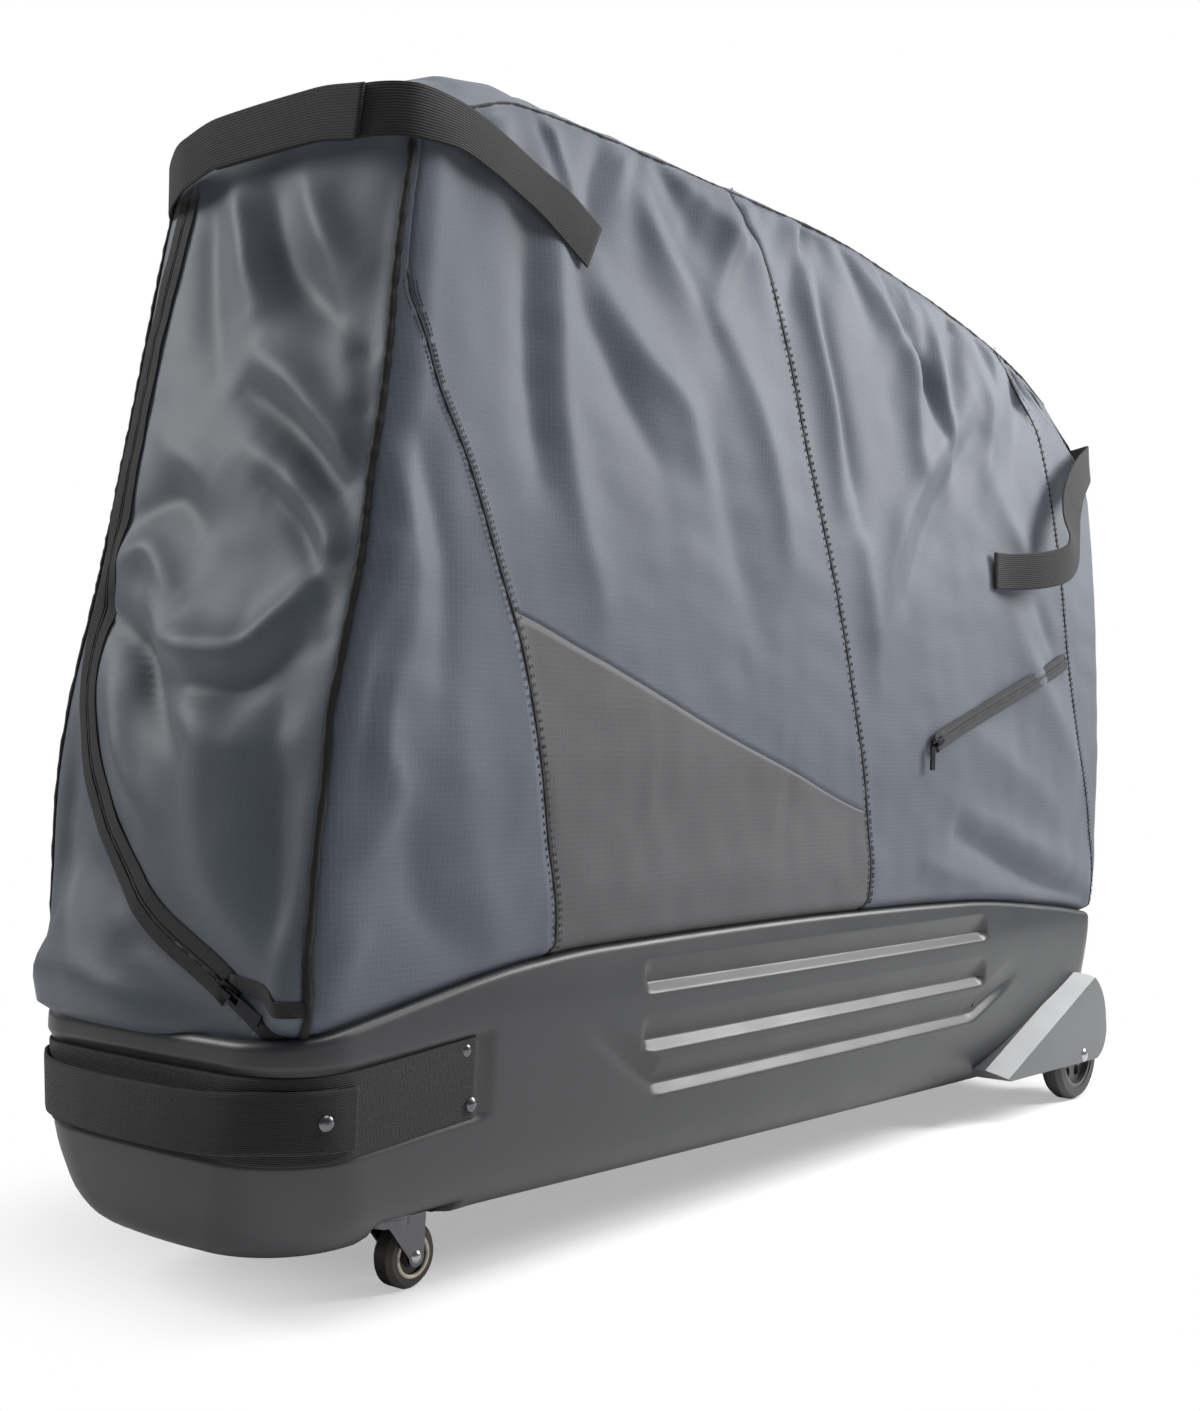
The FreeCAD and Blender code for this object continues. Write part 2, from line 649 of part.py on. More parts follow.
def make_knob(x, face):
    z = rail_high + 13
    knob = rod(17, (x, face - 16, z), (x, face - 2, z))
    for lobe in range(6):
        angle = math.radians(60 * lobe)
        place = (x + 20 * math.cos(angle), z + 20 * math.sin(angle))
        knob = knob.cut(rod(6, (place[0], face - 30, place[1]), (place[0], face, place[1])))
    return knob.fuse([rod(9, (x, face - 4, z), (x, face - 0.4, z)), rod(4, (x, face - 4, z), (x, -22, z))])


def make_hoop(x, half, top):
    # A bent rod from one tub wall over to the other
    low, bend = 140.0, 70.0
    cut = bend * (1 - math.sqrt(0.5))
    path = Part.Wire([line((x, -half, low), (x, -half, top - bend)),
                      arc((x, -half, top - bend), (x, cut - half, top - cut), (x, bend - half, top)),
                      line((x, bend - half, top), (x, half - bend, top)),
                      arc((x, half - bend, top), (x, half - cut, top - cut), (x, half, top - bend)),
                      line((x, half, top - bend), (x, half, low))])
    ring = Part.Wire(Part.makeCircle(hoop_radius, Vector(x, -half, low), Vector(0, 0, 1)))
    return path.makePipeShell([ring], True, False)


def make_hoop_sockets(inside):
    sockets = []
    for x, half, top in hoop_places:
        for side in (-1, 1):
            reach = sorted((side * socket_inner, side * 190))
            block = box((x - 12, reach[0], 130), (x + 12, reach[1], 190)).common(inside)
            sockets.append(block.cut(rod(hoop_radius + running, (x, side * half, 140), (x, side * half, 300))))
    return Part.makeCompound(sockets)


def pocket_frame():
    # Start point, direction and outward shift of the straight pocket zip on the near rear panel
    (x0, z0), (x1, z1) = pocket_start, pocket_end
    length = math.hypot(x1 - x0, z1 - z0)
    return length, (x1 - x0) / length, (z1 - z0) / length


def pocket_strip(start, end, half):
    # A strip along the pocket zip, seen from the side
    length, cx, cz = pocket_frame()
    x0, z0 = pocket_start
    corners = []
    for along, across in ((start, -half), (end, -half), (end, half), (start, half)):
        corners.append((x0 + cx * along - cz * across, -400, z0 + cz * along + cx * across))
    return polygon(corners, (0, 400, 0))


def make_pocket_zip():
    length = pocket_frame()[0]
    skin = wall_ring(-zip_lift - zip_thick, -zip_lift)
    return skin.common(pocket_strip(-12, length + 12, zip_tape))


def skin_frame(start, end, side):
    # Place, zip direction, sideways and outward directions where a zip line starts on the cover
    bag = bag_loft(0)

    def touch(a, z):
        # The cover's skin at a place on the front face or on the near side
        if side == "front":
            edge = bag.common(line((-900, a, z), (0, a, z)))
            return Vector(edge.BoundBox.XMin, a, z)
        edge = bag.common(line((a, -400, z), (a, 0, z)))
        return Vector(a, edge.BoundBox.YMin, z)

    place = touch(*start)
    along = (touch(*end) - place).normalize()
    beside = touch(start[0], start[1] + 20) - place
    out = along.cross(beside).normalize()
    if out.x + out.y > 0:
        out = out * -1
    return place, along, out.cross(along), out


def seat(shape, frame):
    place, along, across, out = frame
    matrix = FreeCAD.Matrix(along.x, across.x, out.x, place.x, along.y, across.y, out.y, place.y,
                            along.z, across.z, out.z, place.z, 0, 0, 0, 1)
    placed = shape.copy()
    placed.Placement = FreeCAD.Placement(matrix)
    return placed


def make_slider(frame):
    # Zip slider: a small body with a bridge whose window holds the pull's bar
    base = slider_lift
    body = box((-9, -5, base), (9, 5, base + 3.2))
    bridge = box((-7, -1.6, base + 3.2), (7, 1.6, base + 6.8)).cut(box((-4.6, -5, base + 3.2), (4.6, 5, base + 5.6)))
    return seat(body.fuse(bridge), frame)


def make_pull(frame, hang):
    # The pull's bar lies in the bridge; its tag hangs off to one side of the zip line
    bar_height = slider_lift + 4.4
    pull = rod(0.8, (0, -3.4, bar_height), (0, 3.4, bar_height))
    for side in (-1, 1):
        reach = sorted((side * 2.2, side * 3.4))
        pull = pull.fuse(box((-15, reach[0], bar_height - 0.8), (0.8, reach[1], bar_height + 0.8)))
    turn = math.radians(hang)
    lead = Vector(-math.cos(turn), math.sin(turn), 0)
    edge = Vector(lead.y, -lead.x, 0) * 4
    start = Vector(-14, 0, bar_height - 0.8)
    corners = [start + edge, start + lead * 24 + edge, start + lead * 24 - edge, start - edge]
    tag = Part.Face(Part.makePolygon(corners + corners[:1])).extrude(Vector(0, 0, 1.6))
    return seat(pull.fuse(tag), frame)


def make_pads():
    # Foam sheets inside the two side walls
    near = box((pad_front, -pad_outer, hinge_z + 10), (pad_rear, pad_thick - pad_outer, pad_top))
    return near, mirrored(near)


def make_pouch():
    # The pocket's cloth pouch hangs behind its zip
    outer = box((250, -156.5, 330), (560, -149.5, 500))
    return outer.cut(box((252, -155, 332), (558, -151, 498)))


def tub_side(x, z, inset):
    edge = tub_loft(inset).common(line((x, -400, z), (x, 0, z)))
    return edge.BoundBox.YMin


def make_pull_rivets():
    heads = []
    for x, z in webbing_rivets:
        heads.append(rivet((x, tub_side(x, z, -0.2), z), (0, -1, 0)))
    turn = math.radians(grip_rivet_turn)
    out = Vector(math.cos(turn), math.sin(turn), 0)
    place = Vector(*grip_point(grip_rivet_turn, grip_thick + 0.6), grip_rivet_height)
    heads.append(rivet(tuple(place), tuple(out)))
    return Part.makeCompound(heads + [mirrored(head) for head in heads])


def make_caster_rivets():
    rivets = []
    low = caster_seat - caster_plate
    for side in (-1, 1):
        for dx, dy in plate_holes():
            x, y = caster_x + dx, side * caster_y + dy
            shank = rod(2.45, (x, y, low - 0.5), (x, y, caster_seat + tub_wall + 1.5))
            head = rivet((x, y, low), (0, 0, -1), 4.5, 2.0)
            tail = rivet((x, y, caster_seat + tub_wall), (0, 0, 1), 4.5, 2.0)
            rivets.append(shank.fuse([head, tail]))
    return Part.makeCompound(rivets)


def export(name, shape):
    shape.exportStep("parts/" + name + ".step")
    reach = shape.optimalBoundingBox()
    print(f"{name:22s} solids {len(shape.Solids)} valid {shape.isValid()} volume {shape.Volume / 1000:8.2f} cm3  "
          f"x {reach.XMin:7.1f} {reach.XMax:7.1f}  y {reach.YMin:7.1f} {reach.YMax:7.1f}  "
          f"z {reach.ZMin:6.1f} {reach.ZMax:6.1f}")


def main():
    os.makedirs("parts", exist_ok=True)
    parts = make_cover()
    parts["top_panel"] = make_top()
    tub, inside = make_tub()
    parts["tub"] = tub
    parts["main_zip_fixed"], parts["main_zip_moving"] = make_main_zip()
    parts["front_strap_near"], parts["front_strap_far"] = make_front_straps()
    parts["rear_strap_near"], parts["rear_strap_far"] = make_rear_straps()
    parts["pull_webbing"], parts["pull_grip"] = make_pull_handle()
    parts["pocket_zip"] = make_pocket_zip()
    tub_skin = tub_loft(-0.2)
    pieces = {"wheel_cowl": make_cowl(tub_skin), "caster_plate": make_caster_plate(),
              "caster_fork": make_caster_fork(), "caster_axle": make_caster_axle(),
              "caster_wheel": make_caster_wheel()}
    pieces["rear_tyre"], pieces["rear_hub"] = make_rear_wheel()
    for name, shape in pieces.items():
        parts["near_" + name] = shape
        parts["far_" + name] = mirrored(shape)
    axle = make_rear_axle()
    parts["rear_axles"] = Part.makeCompound([axle, mirrored(axle)])
    parts["rail"] = make_rail()
    parts["rail_feet"] = make_rail_feet(inside)
    parts["fork_mount"] = make_fork_mount()
    parts["fork_mount_knob"] = make_knob(mount_x, -rail_half)
    parts["cradle"] = make_cradle()
    parts["cradle_pad"] = make_saddle_pad()
    parts["cradle_knob"] = make_knob(cradle_x, -30)
    for name, place in zip(("front_hoop", "rear_hoop"), hoop_places):
        parts[name] = make_hoop(*place)
    parts["hoop_sockets"] = make_hoop_sockets(inside)
    main_ends = [(y, zip_height(y)) for y in (main_slider_start, main_slider_end)]
    main_frame = skin_frame(*main_ends, "front")
    pocket_place = skin_frame(pocket_start, pocket_end, "near")
    parts["main_slider"] = make_slider(main_frame)
    parts["main_pull"] = make_pull(main_frame, 0)
    parts["pocket_slider"] = make_slider(pocket_place)
    parts["pocket_pull"] = make_pull(pocket_place, -72)
    parts["near_pad"], parts["far_pad"] = make_pads()
    parts["pocket_pouch"] = make_pouch()
    parts["pull_rivets"] = make_pull_rivets()
    parts["caster_rivets"] = make_caster_rivets()
    print("main slider", main_frame)
    print("pocket slider", pocket_place)
    for name, shape in parts.items():
        export(name, shape)


main()
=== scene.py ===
import math
import bpy
import numpy as np
from mathutils import Matrix, Vector


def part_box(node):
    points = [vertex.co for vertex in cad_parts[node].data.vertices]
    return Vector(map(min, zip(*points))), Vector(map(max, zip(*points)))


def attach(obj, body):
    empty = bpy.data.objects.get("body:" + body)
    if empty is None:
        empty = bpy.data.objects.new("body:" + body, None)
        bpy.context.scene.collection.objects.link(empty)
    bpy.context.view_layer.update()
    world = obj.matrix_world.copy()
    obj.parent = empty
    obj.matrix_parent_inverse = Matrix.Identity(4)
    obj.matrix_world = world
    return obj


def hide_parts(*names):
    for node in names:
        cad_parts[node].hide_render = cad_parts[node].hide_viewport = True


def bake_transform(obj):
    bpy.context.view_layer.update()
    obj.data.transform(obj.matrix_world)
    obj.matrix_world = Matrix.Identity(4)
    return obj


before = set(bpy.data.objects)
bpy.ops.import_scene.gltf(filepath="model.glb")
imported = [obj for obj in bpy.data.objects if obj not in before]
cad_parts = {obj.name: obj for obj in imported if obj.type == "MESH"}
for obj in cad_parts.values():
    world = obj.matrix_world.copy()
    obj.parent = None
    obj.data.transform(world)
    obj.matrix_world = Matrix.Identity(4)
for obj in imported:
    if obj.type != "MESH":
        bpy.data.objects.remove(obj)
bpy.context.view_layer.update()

print("stage: frame loaded")

# Small helpers

def smoothLine(points):
    t = np.array([p[0] for p in points], float)
    v = np.array([p[1] for p in points], float)
    step = np.diff(v) / np.diff(t)
    slope = np.concatenate([[step[0]], np.zeros(len(t) - 2), [step[-1]]])
    for i in range(1, len(t) - 1):
        if step[i - 1] * step[i] > 0:
            slope[i] = 2 * step[i - 1] * step[i] / (step[i - 1] + step[i])

    def at(q):
        q = np.clip(np.asarray(q, float), t[0], t[-1])
        i = np.clip(np.searchsorted(t, q) - 1, 0, len(t) - 2)
        h = t[i + 1] - t[i]
        s = (q - t[i]) / h
        return (v[i] * (1 + 2 * s) * (1 - s) ** 2 + h * slope[i] * s * (1 - s) ** 2
                + v[i + 1] * s * s * (3 - 2 * s) + h * slope[i + 1] * s * s * (s - 1))
    return at


def ease(value, low, high):
    s = np.clip((np.asarray(value, float) - low) / (high - low), 0, 1)
    return s * s * (3 - 2 * s)


def lengthAlong(points):
    return np.concatenate([[0], np.cumsum(np.linalg.norm(np.diff(points, axis=0), axis=1))])


def curveThrough(points, count):
    points = np.array(points, float)
    length = lengthAlong(points)
    spots = np.linspace(0, length[-1], count)
    lines = [smoothLine(list(zip(length, points[:, k]))) for k in range(points.shape[1])]
    return np.stack([line(spots) for line in lines], axis=1)


def unit(vectors):
    return vectors / np.maximum(np.linalg.norm(vectors, axis=-1, keepdims=True), 1e-9)


def gridNormals(grid, closed=False):
    if closed:
        ring = np.concatenate([grid[:, -2:-1], grid, grid[:, 1:2]], axis=1)
        return gridNormals(ring)[:, 1:-1]
    return unit(np.cross(np.gradient(grid, axis=1), np.gradient(grid, axis=0)))


def facing(normal, axis, sign):
    return normal * np.sign(sign * normal[..., axis:axis + 1] + 1e-9)  # all turned to one side


def addMesh(name, verts, faces, uvs=None, smooth=True):
    mesh = bpy.data.meshes.new(name)
    mesh.from_pydata([tuple(v) for v in verts], [], [tuple(int(i) for i in f) for f in faces])
    if uvs is not None:
        layer = mesh.uv_layers.new(name="chart")
        loops = np.empty(len(mesh.loops), np.int32)
        mesh.loops.foreach_get("vertex_index", loops)
        layer.data.foreach_set("uv", np.asarray(uvs, float)[loops].ravel())
    if smooth:
        mesh.polygons.foreach_set("use_smooth", [True] * len(mesh.polygons))
    mesh.update()
    item = bpy.data.objects.new(name, mesh)
    bpy.context.scene.collection.objects.link(item)
    return item


def shell(name, grid, keep, thick, chart=None, out=None, closed=False):
    # A wall over the kept cells of a grid of points, and the area of its outside
    rows, cols = grid.shape[:2]
    normal = gridNormals(grid) if out is None else out
    index = np.arange(rows * cols).reshape(rows, cols)
    if closed:
        index[:, -1] = index[:, 0]
    a, b, c, d = index[:-1, :-1], index[:-1, 1:], index[1:, 1:], index[1:, :-1]
    quads = np.stack([a[keep], b[keep], c[keep], d[keep]], axis=1)
    edges = {}
    for quad in quads.tolist():
        for i, j in zip(quad, quad[1:] + quad[:1]):
            if (j, i) in edges:
                del edges[(j, i)]
            else:
                edges[(i, j)] = True
    used = np.unique(quads)
    place = np.full(rows * cols, -1)
    place[used] = np.arange(len(used))
    top = grid.reshape(-1, 3)[used]
    low = top - normal.reshape(-1, 3)[used] * thick
    n = len(used)
    faces = [list(place[q]) for q in quads] + [list(place[q][::-1] + n) for q in quads]
    faces += [[place[j], place[i], place[i] + n, place[j] + n] for i, j in edges]
    uvs = None
    if chart is not None:
        flat = chart.reshape(-1, 2)[used]
        uvs = np.concatenate([flat, flat])
    area = 0.0
    p = grid.reshape(-1, 3)
    for k in ((0, 1, 2), (0, 2, 3)):
        e = np.cross(p[quads[:, k[1]]] - p[quads[:, k[0]]], p[quads[:, k[2]]] - p[quads[:, k[0]]])
        area += np.linalg.norm(e, axis=1).sum() / 2
    item = addMesh(name, np.concatenate([top, low]), faces, uvs)
    return item, area


def ringFaces(rings, sides):
    faces = []
    for i in range(rings - 1):
        for k in range(sides):
            a, b = i * sides + k, i * sides + (k + 1) % sides
            faces.append((a, b, b + sides, a + sides))
    return faces + [tuple(range(sides - 1, -1, -1)), tuple(range((rings - 1) * sides, rings * sides))]


def strip(name, path, out, width, thick, across=None):
    # A flat band of webbing along a path, with rounded selvedges
    path = np.asarray(path, float)
    out = unit(np.asarray(out, float))
    side = unit(np.cross(unit(np.gradient(path, axis=0)), out)) if across is None else unit(across)
    r = thick / 2
    section = [(-1, 0, r), (-1, -.5 * r, 1.8 * r), (-1, -2 * r, 2 * r), (0, 0, 2 * r),
               (1, -2 * r, 2 * r), (1, -.5 * r, 1.8 * r), (1, 0, r), (1, -.5 * r, .2 * r),
               (1, -2 * r, 0), (0, 0, 0), (-1, -2 * r, 0), (-1, -.5 * r, .2 * r)]
    verts, uvs = [], []
    length = lengthAlong(path)
    for i in range(len(path)):
        for sign, draw, lift in section:
            offset = sign * (width / 2 + draw)
            verts.append(path[i] + side[i] * offset + out[i] * lift)
            uvs.append((length[i], offset))
    return addMesh(name, verts, ringFaces(len(path), len(section)), uvs)


def tube(name, path, radius, sides=8, wobble=0.0):
    path = np.asarray(path, float)
    along = unit(np.gradient(path, axis=0))
    side = np.cross(along, (0.0, 0.0, 1.0))
    side[np.linalg.norm(side, axis=1) < 1e-4] = (1, 0, 0)
    side = unit(side)
    top = unit(np.cross(side, along))
    verts = []
    for i in range(len(path)):
        r = radius * (1 + wobble * math.sin(i * 1.7) * math.cos(i * 0.53))
        for k in range(sides):
            a = 2 * math.pi * k / sides
            verts.append(path[i] + r * (math.cos(a) * side[i] + math.sin(a) * top[i]))
    return addMesh(name, verts, ringFaces(len(path), sides))


def stitches(name, path, out, shift, pitch=0.0044, long=0.0030, wide=0.0006):
    # A row of short threads beside a seam
    path = np.asarray(path, float)
    length = lengthAlong(path)
    along = unit(np.gradient(path, axis=0))
    side = unit(np.cross(along, out))
    corners = [(-1, -1), (-1, 1), (1, 1), (1, -1)]
    thread = [(a * .5, b * .5, 0) for a, b in corners] + [(a * .3, b * .3, 1) for a, b in corners]
    verts, faces = [], []
    for s in np.arange(pitch, length[-1] - pitch, pitch):
        i = min(np.searchsorted(length, s), len(path) - 1)
        centre = path[i] + side[i] * shift + out[i] * 0.0003
        base = len(verts)
        for a, b, h in thread:
            verts.append(centre + along[i] * a * long + side[i] * b * wide + out[i] * h * 0.0005)
        faces += [(base, base + 3, base + 2, base + 1), (base + 4, base + 5, base + 6, base + 7)]
        for k in range(4):
            faces.append((base + k, base + (k + 1) % 4, base + 4 + (k + 1) % 4, base + 4 + k))
    return addMesh(name, verts, faces, smooth=False)


# Materials

def startMaterial(name, rough, **socket):
    mat = bpy.data.materials.new(name)
    mat.use_nodes = True
    tree = mat.node_tree
    surface = tree.nodes["Principled BSDF"]
    surface.inputs["Roughness"].default_value = rough
    for key, value in socket.items():
        surface.inputs[key.replace("_", " ")].default_value = value
    return mat, tree, surface


def node(tree, kind, **values):
    item = tree.nodes.new(kind)
    for key, value in values.items():
        if hasattr(item, key):
            setattr(item, key, value)
        else:
            item.inputs[key.replace("_", " ")].default_value = value
    return item


def mathNode(tree, operation, a, b=None):
    item = tree.nodes.new("ShaderNodeMath")
    item.operation = operation
    for slot, value in enumerate((a, b)):
        if isinstance(value, (int, float)):
            item.inputs[slot].default_value = value
        elif value is not None:
            tree.links.new(value, item.inputs[slot])
    return item.outputs[0]


def weighted(tree, *pairs):
    parts = [mathNode(tree, "MULTIPLY", value, weight) for value, weight in pairs]
    total = parts[0]
    for part in parts[1:]:
        total = mathNode(tree, "ADD", total, part)
    return total


def colourMix(tree, low, high, factor):
    item = tree.nodes.new("ShaderNodeMix")
    item.data_type = "RGBA"
    for slot, value in ((6, low), (7, high)):
        if isinstance(value, tuple):
            item.inputs[slot].default_value = (*value, 1)
        else:
            tree.links.new(value, item.inputs[slot])
    tree.links.new(factor, item.inputs[0])
    return item.outputs[2]


def shades(tree, base, dark, light, factor):
    return colourMix(tree, tuple(v * dark for v in base), tuple(v * light for v in base), factor)


def noiseOf(tree, scale, detail):
    item = node(tree, "ShaderNodeTexNoise", Scale=scale, Detail=detail, Roughness=0.55)
    tree.links.new(node(tree, "ShaderNodeTexCoord").outputs["Object"], item.inputs["Vector"])
    return item.outputs["Fac"]


def chartOf(tree):
    uv = node(tree, "ShaderNodeUVMap", uv_map="chart").outputs["UV"]
    split = node(tree, "ShaderNodeSeparateXYZ")
    tree.links.new(uv, split.inputs[0])
    return uv, split.outputs[0], split.outputs[1]


def waves(tree, along, pitch):
    return mathNode(tree, "SINE", mathNode(tree, "MULTIPLY", along, 2 * math.pi / pitch))


def bumpTo(tree, surface, height, strength, distance):
    item = node(tree, "ShaderNodeBump", Strength=strength, Distance=distance)
    tree.links.new(height, item.inputs["Height"])
    tree.links.new(item.outputs["Normal"], surface.inputs["Normal"])
    return item


def unevenRough(tree, surface, cloud, rough, spread):
    worn = mathNode(tree, "ADD", weighted(tree, (cloud, spread)), rough - spread / 2)
    tree.links.new(worn, surface.inputs["Roughness"])


def level(*values):
    # Picture levels of 0 to 255 as linear colour
    parts = [v / 255 for v in values]
    return tuple(v / 12.92 if v <= .04045 else ((v + .055) / 1.055) ** 2.4 for v in parts)


def clothMaterial(name, base, line, rough, lineBump=0.4):
    mat, tree, surface = startMaterial(name, rough, Sheen_Weight=0.1, Sheen_Roughness=0.4,
                                       Specular_IOR_Level=0.32)
    uv, u, v = chartOf(tree)
    lines = []
    for along in (u, v):
        wave = mathNode(tree, "PINGPONG", mathNode(tree, "MULTIPLY", along, 1 / ripstopPitch), 0.5)
        lines.append(mathNode(tree, "GREATER_THAN", wave, 0.42))
    ripstop = mathNode(tree, "MAXIMUM", *lines)
    woven = mathNode(tree, "MULTIPLY", waves(tree, u, threadPitch), waves(tree, v, threadPitch))
    cloud, grain = noiseOf(tree, 9.0, 4), noiseOf(tree, 420.0, 2)
    shade = shades(tree, base, .84, 1.14, weighted(tree, (cloud, 0.5), (grain, 0.5)))
    colour = colourMix(tree, shade, line, mathNode(tree, "MULTIPLY", ripstop, 0.4))
    tree.links.new(colour, surface.inputs["Base Color"])
    stretched = node(tree, "ShaderNodeVectorMath", operation="MULTIPLY")
    tree.links.new(uv, stretched.inputs[0])
    stretched.inputs[1].default_value = (1.5, .8, 1)
    crease = node(tree, "ShaderNodeTexNoise", noise_type="RIDGED_MULTIFRACTAL", Scale=6.5, Detail=3.0,
                  Roughness=0.45, Distortion=0.7)
    tree.links.new(stretched.outputs[0], crease.inputs["Vector"])
    creased = node(tree, "ShaderNodeBump", Strength=0.5, Distance=0.006)
    tree.links.new(crease.outputs["Fac"], creased.inputs["Height"])
    height = weighted(tree, (ripstop, lineBump), (woven, 0.12), (grain, 0.35))
    fine = bumpTo(tree, surface, height, 0.35, 0.0004)
    tree.links.new(creased.outputs["Normal"], fine.inputs["Normal"])
    return mat


def webbingMaterial(name, base, rough=0.75, pitch=0.0021):
    mat, tree, surface = startMaterial(name, rough, Sheen_Weight=0.06, Specular_IOR_Level=0.3)
    _, u, v = chartOf(tree)
    rib, thread = waves(tree, v, pitch), waves(tree, u, 0.0013)
    colour = shades(tree, base, .6, 1.5, weighted(tree, (noiseOf(tree, 300.0, 3), 0.7), (rib, 0.12)))
    tree.links.new(colour, surface.inputs["Base Color"])
    bumpTo(tree, surface, weighted(tree, (rib, 1.0), (thread, 0.4)), 0.6, 0.0004)
    return mat


def plasticMaterial(name, base, rough, grain=900.0, strength=0.12):
    mat, tree, surface = startMaterial(name, rough, Specular_IOR_Level=0.45)
    fine, cloud = noiseOf(tree, grain, 2), noiseOf(tree, 14.0, 4)
    colour = shades(tree, base, .88, 1.12, weighted(tree, (fine, 0.4), (cloud, 0.6)))
    tree.links.new(colour, surface.inputs["Base Color"])
    unevenRough(tree, surface, cloud, rough, 0.16)
    bumpTo(tree, surface, fine, strength, 0.0004)
    return mat


def metalMaterial(name, base, rough):
    mat, tree, surface = startMaterial(name, rough, Metallic=1.0)
    cloud = noiseOf(tree, 160.0, 4)
    tree.links.new(shades(tree, base, .8, 1.0, cloud), surface.inputs["Base Color"])
    unevenRough(tree, surface, cloud, rough, 0.18)
    bumpTo(tree, surface, cloud, 0.05, 0.0003)
    return mat


ripstopPitch, threadPitch = 0.0042, 0.0007
looks = {
    "cloth": clothMaterial("cloth", level(75, 80, 90), level(88, 93, 103), 0.60),
    "front_cloth": clothMaterial("frontCloth", level(70, 76, 85), level(76, 82, 91), 0.52, lineBump=0.2),
    "block_cloth": clothMaterial("blockCloth", level(73, 73, 75), level(84, 84, 86), 0.62),
    "webbing": webbingMaterial("webbing", level(19, 19, 20)),
    "pull_webbing": webbingMaterial("pullWebbing", level(28, 27, 27), 0.7, 0.0015),
    "grip_webbing": webbingMaterial("gripWebbing", level(20, 17, 17), 0.7, 0.0015),
    "seam": webbingMaterial("seamBinding", level(14, 14, 15), 0.7, 0.0012),
    "thread": plasticMaterial("thread", level(40, 42, 45), 0.7, 2000.0),
    "zip_tape": webbingMaterial("zipTape", level(18, 18, 19), 0.7, 0.0012),
    "pocket_tape": webbingMaterial("pocketTape", level(44, 46, 50), 0.7, 0.0012),
    "zip_metal": metalMaterial("zipMetal", level(52, 52, 55), 0.38),
    "tub_plastic": plasticMaterial("tubPlastic", level(42, 43, 45), 0.42, 1100.0, 0.16),
    "cowl_plastic": plasticMaterial("cowlPlastic", level(74, 76, 78), 0.36, 900.0, 0.06),
    "rivet_metal": metalMaterial("rivetMetal", level(104, 105, 108), 0.30),
    "caster_metal": metalMaterial("casterMetal", level(96, 96, 100), 0.32),
    "axle_metal": metalMaterial("axleMetal", level(170, 170, 172), 0.28),
    "caster_rubber": plasticMaterial("casterRubber", level(44, 40, 37), 0.50),
    "caster_ring": plasticMaterial("casterRing", level(176, 168, 148), 0.45),
    "wheel_rubber": plasticMaterial("wheelRubber", level(52, 52, 54), 0.6),
    "hub_plastic": plasticMaterial("hubPlastic", level(70, 70, 72), 0.42),
    "rail_metal": metalMaterial("railMetal", level(150, 152, 155), 0.36),
    "stand_plastic": plasticMaterial("standPlastic", level(48, 49, 51), 0.5),
    "knob_plastic": plasticMaterial("knobPlastic", level(36, 36, 38), 0.45),
    "pad_rubber": plasticMaterial("padRubber", level(40, 40, 42), 0.75),
    "hoop_rod": plasticMaterial("hoopRod", level(54, 54, 56), 0.4),
    "foam": plasticMaterial("foam", level(62, 62, 66), 0.85, 500.0, 0.3),
}


def dress(item, look, slotName, *nodes):
    item.data.materials.clear()
    item.data.materials.append(looks[look])
    if nodes:
        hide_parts(*nodes)
    return item


print("stage: materials made")

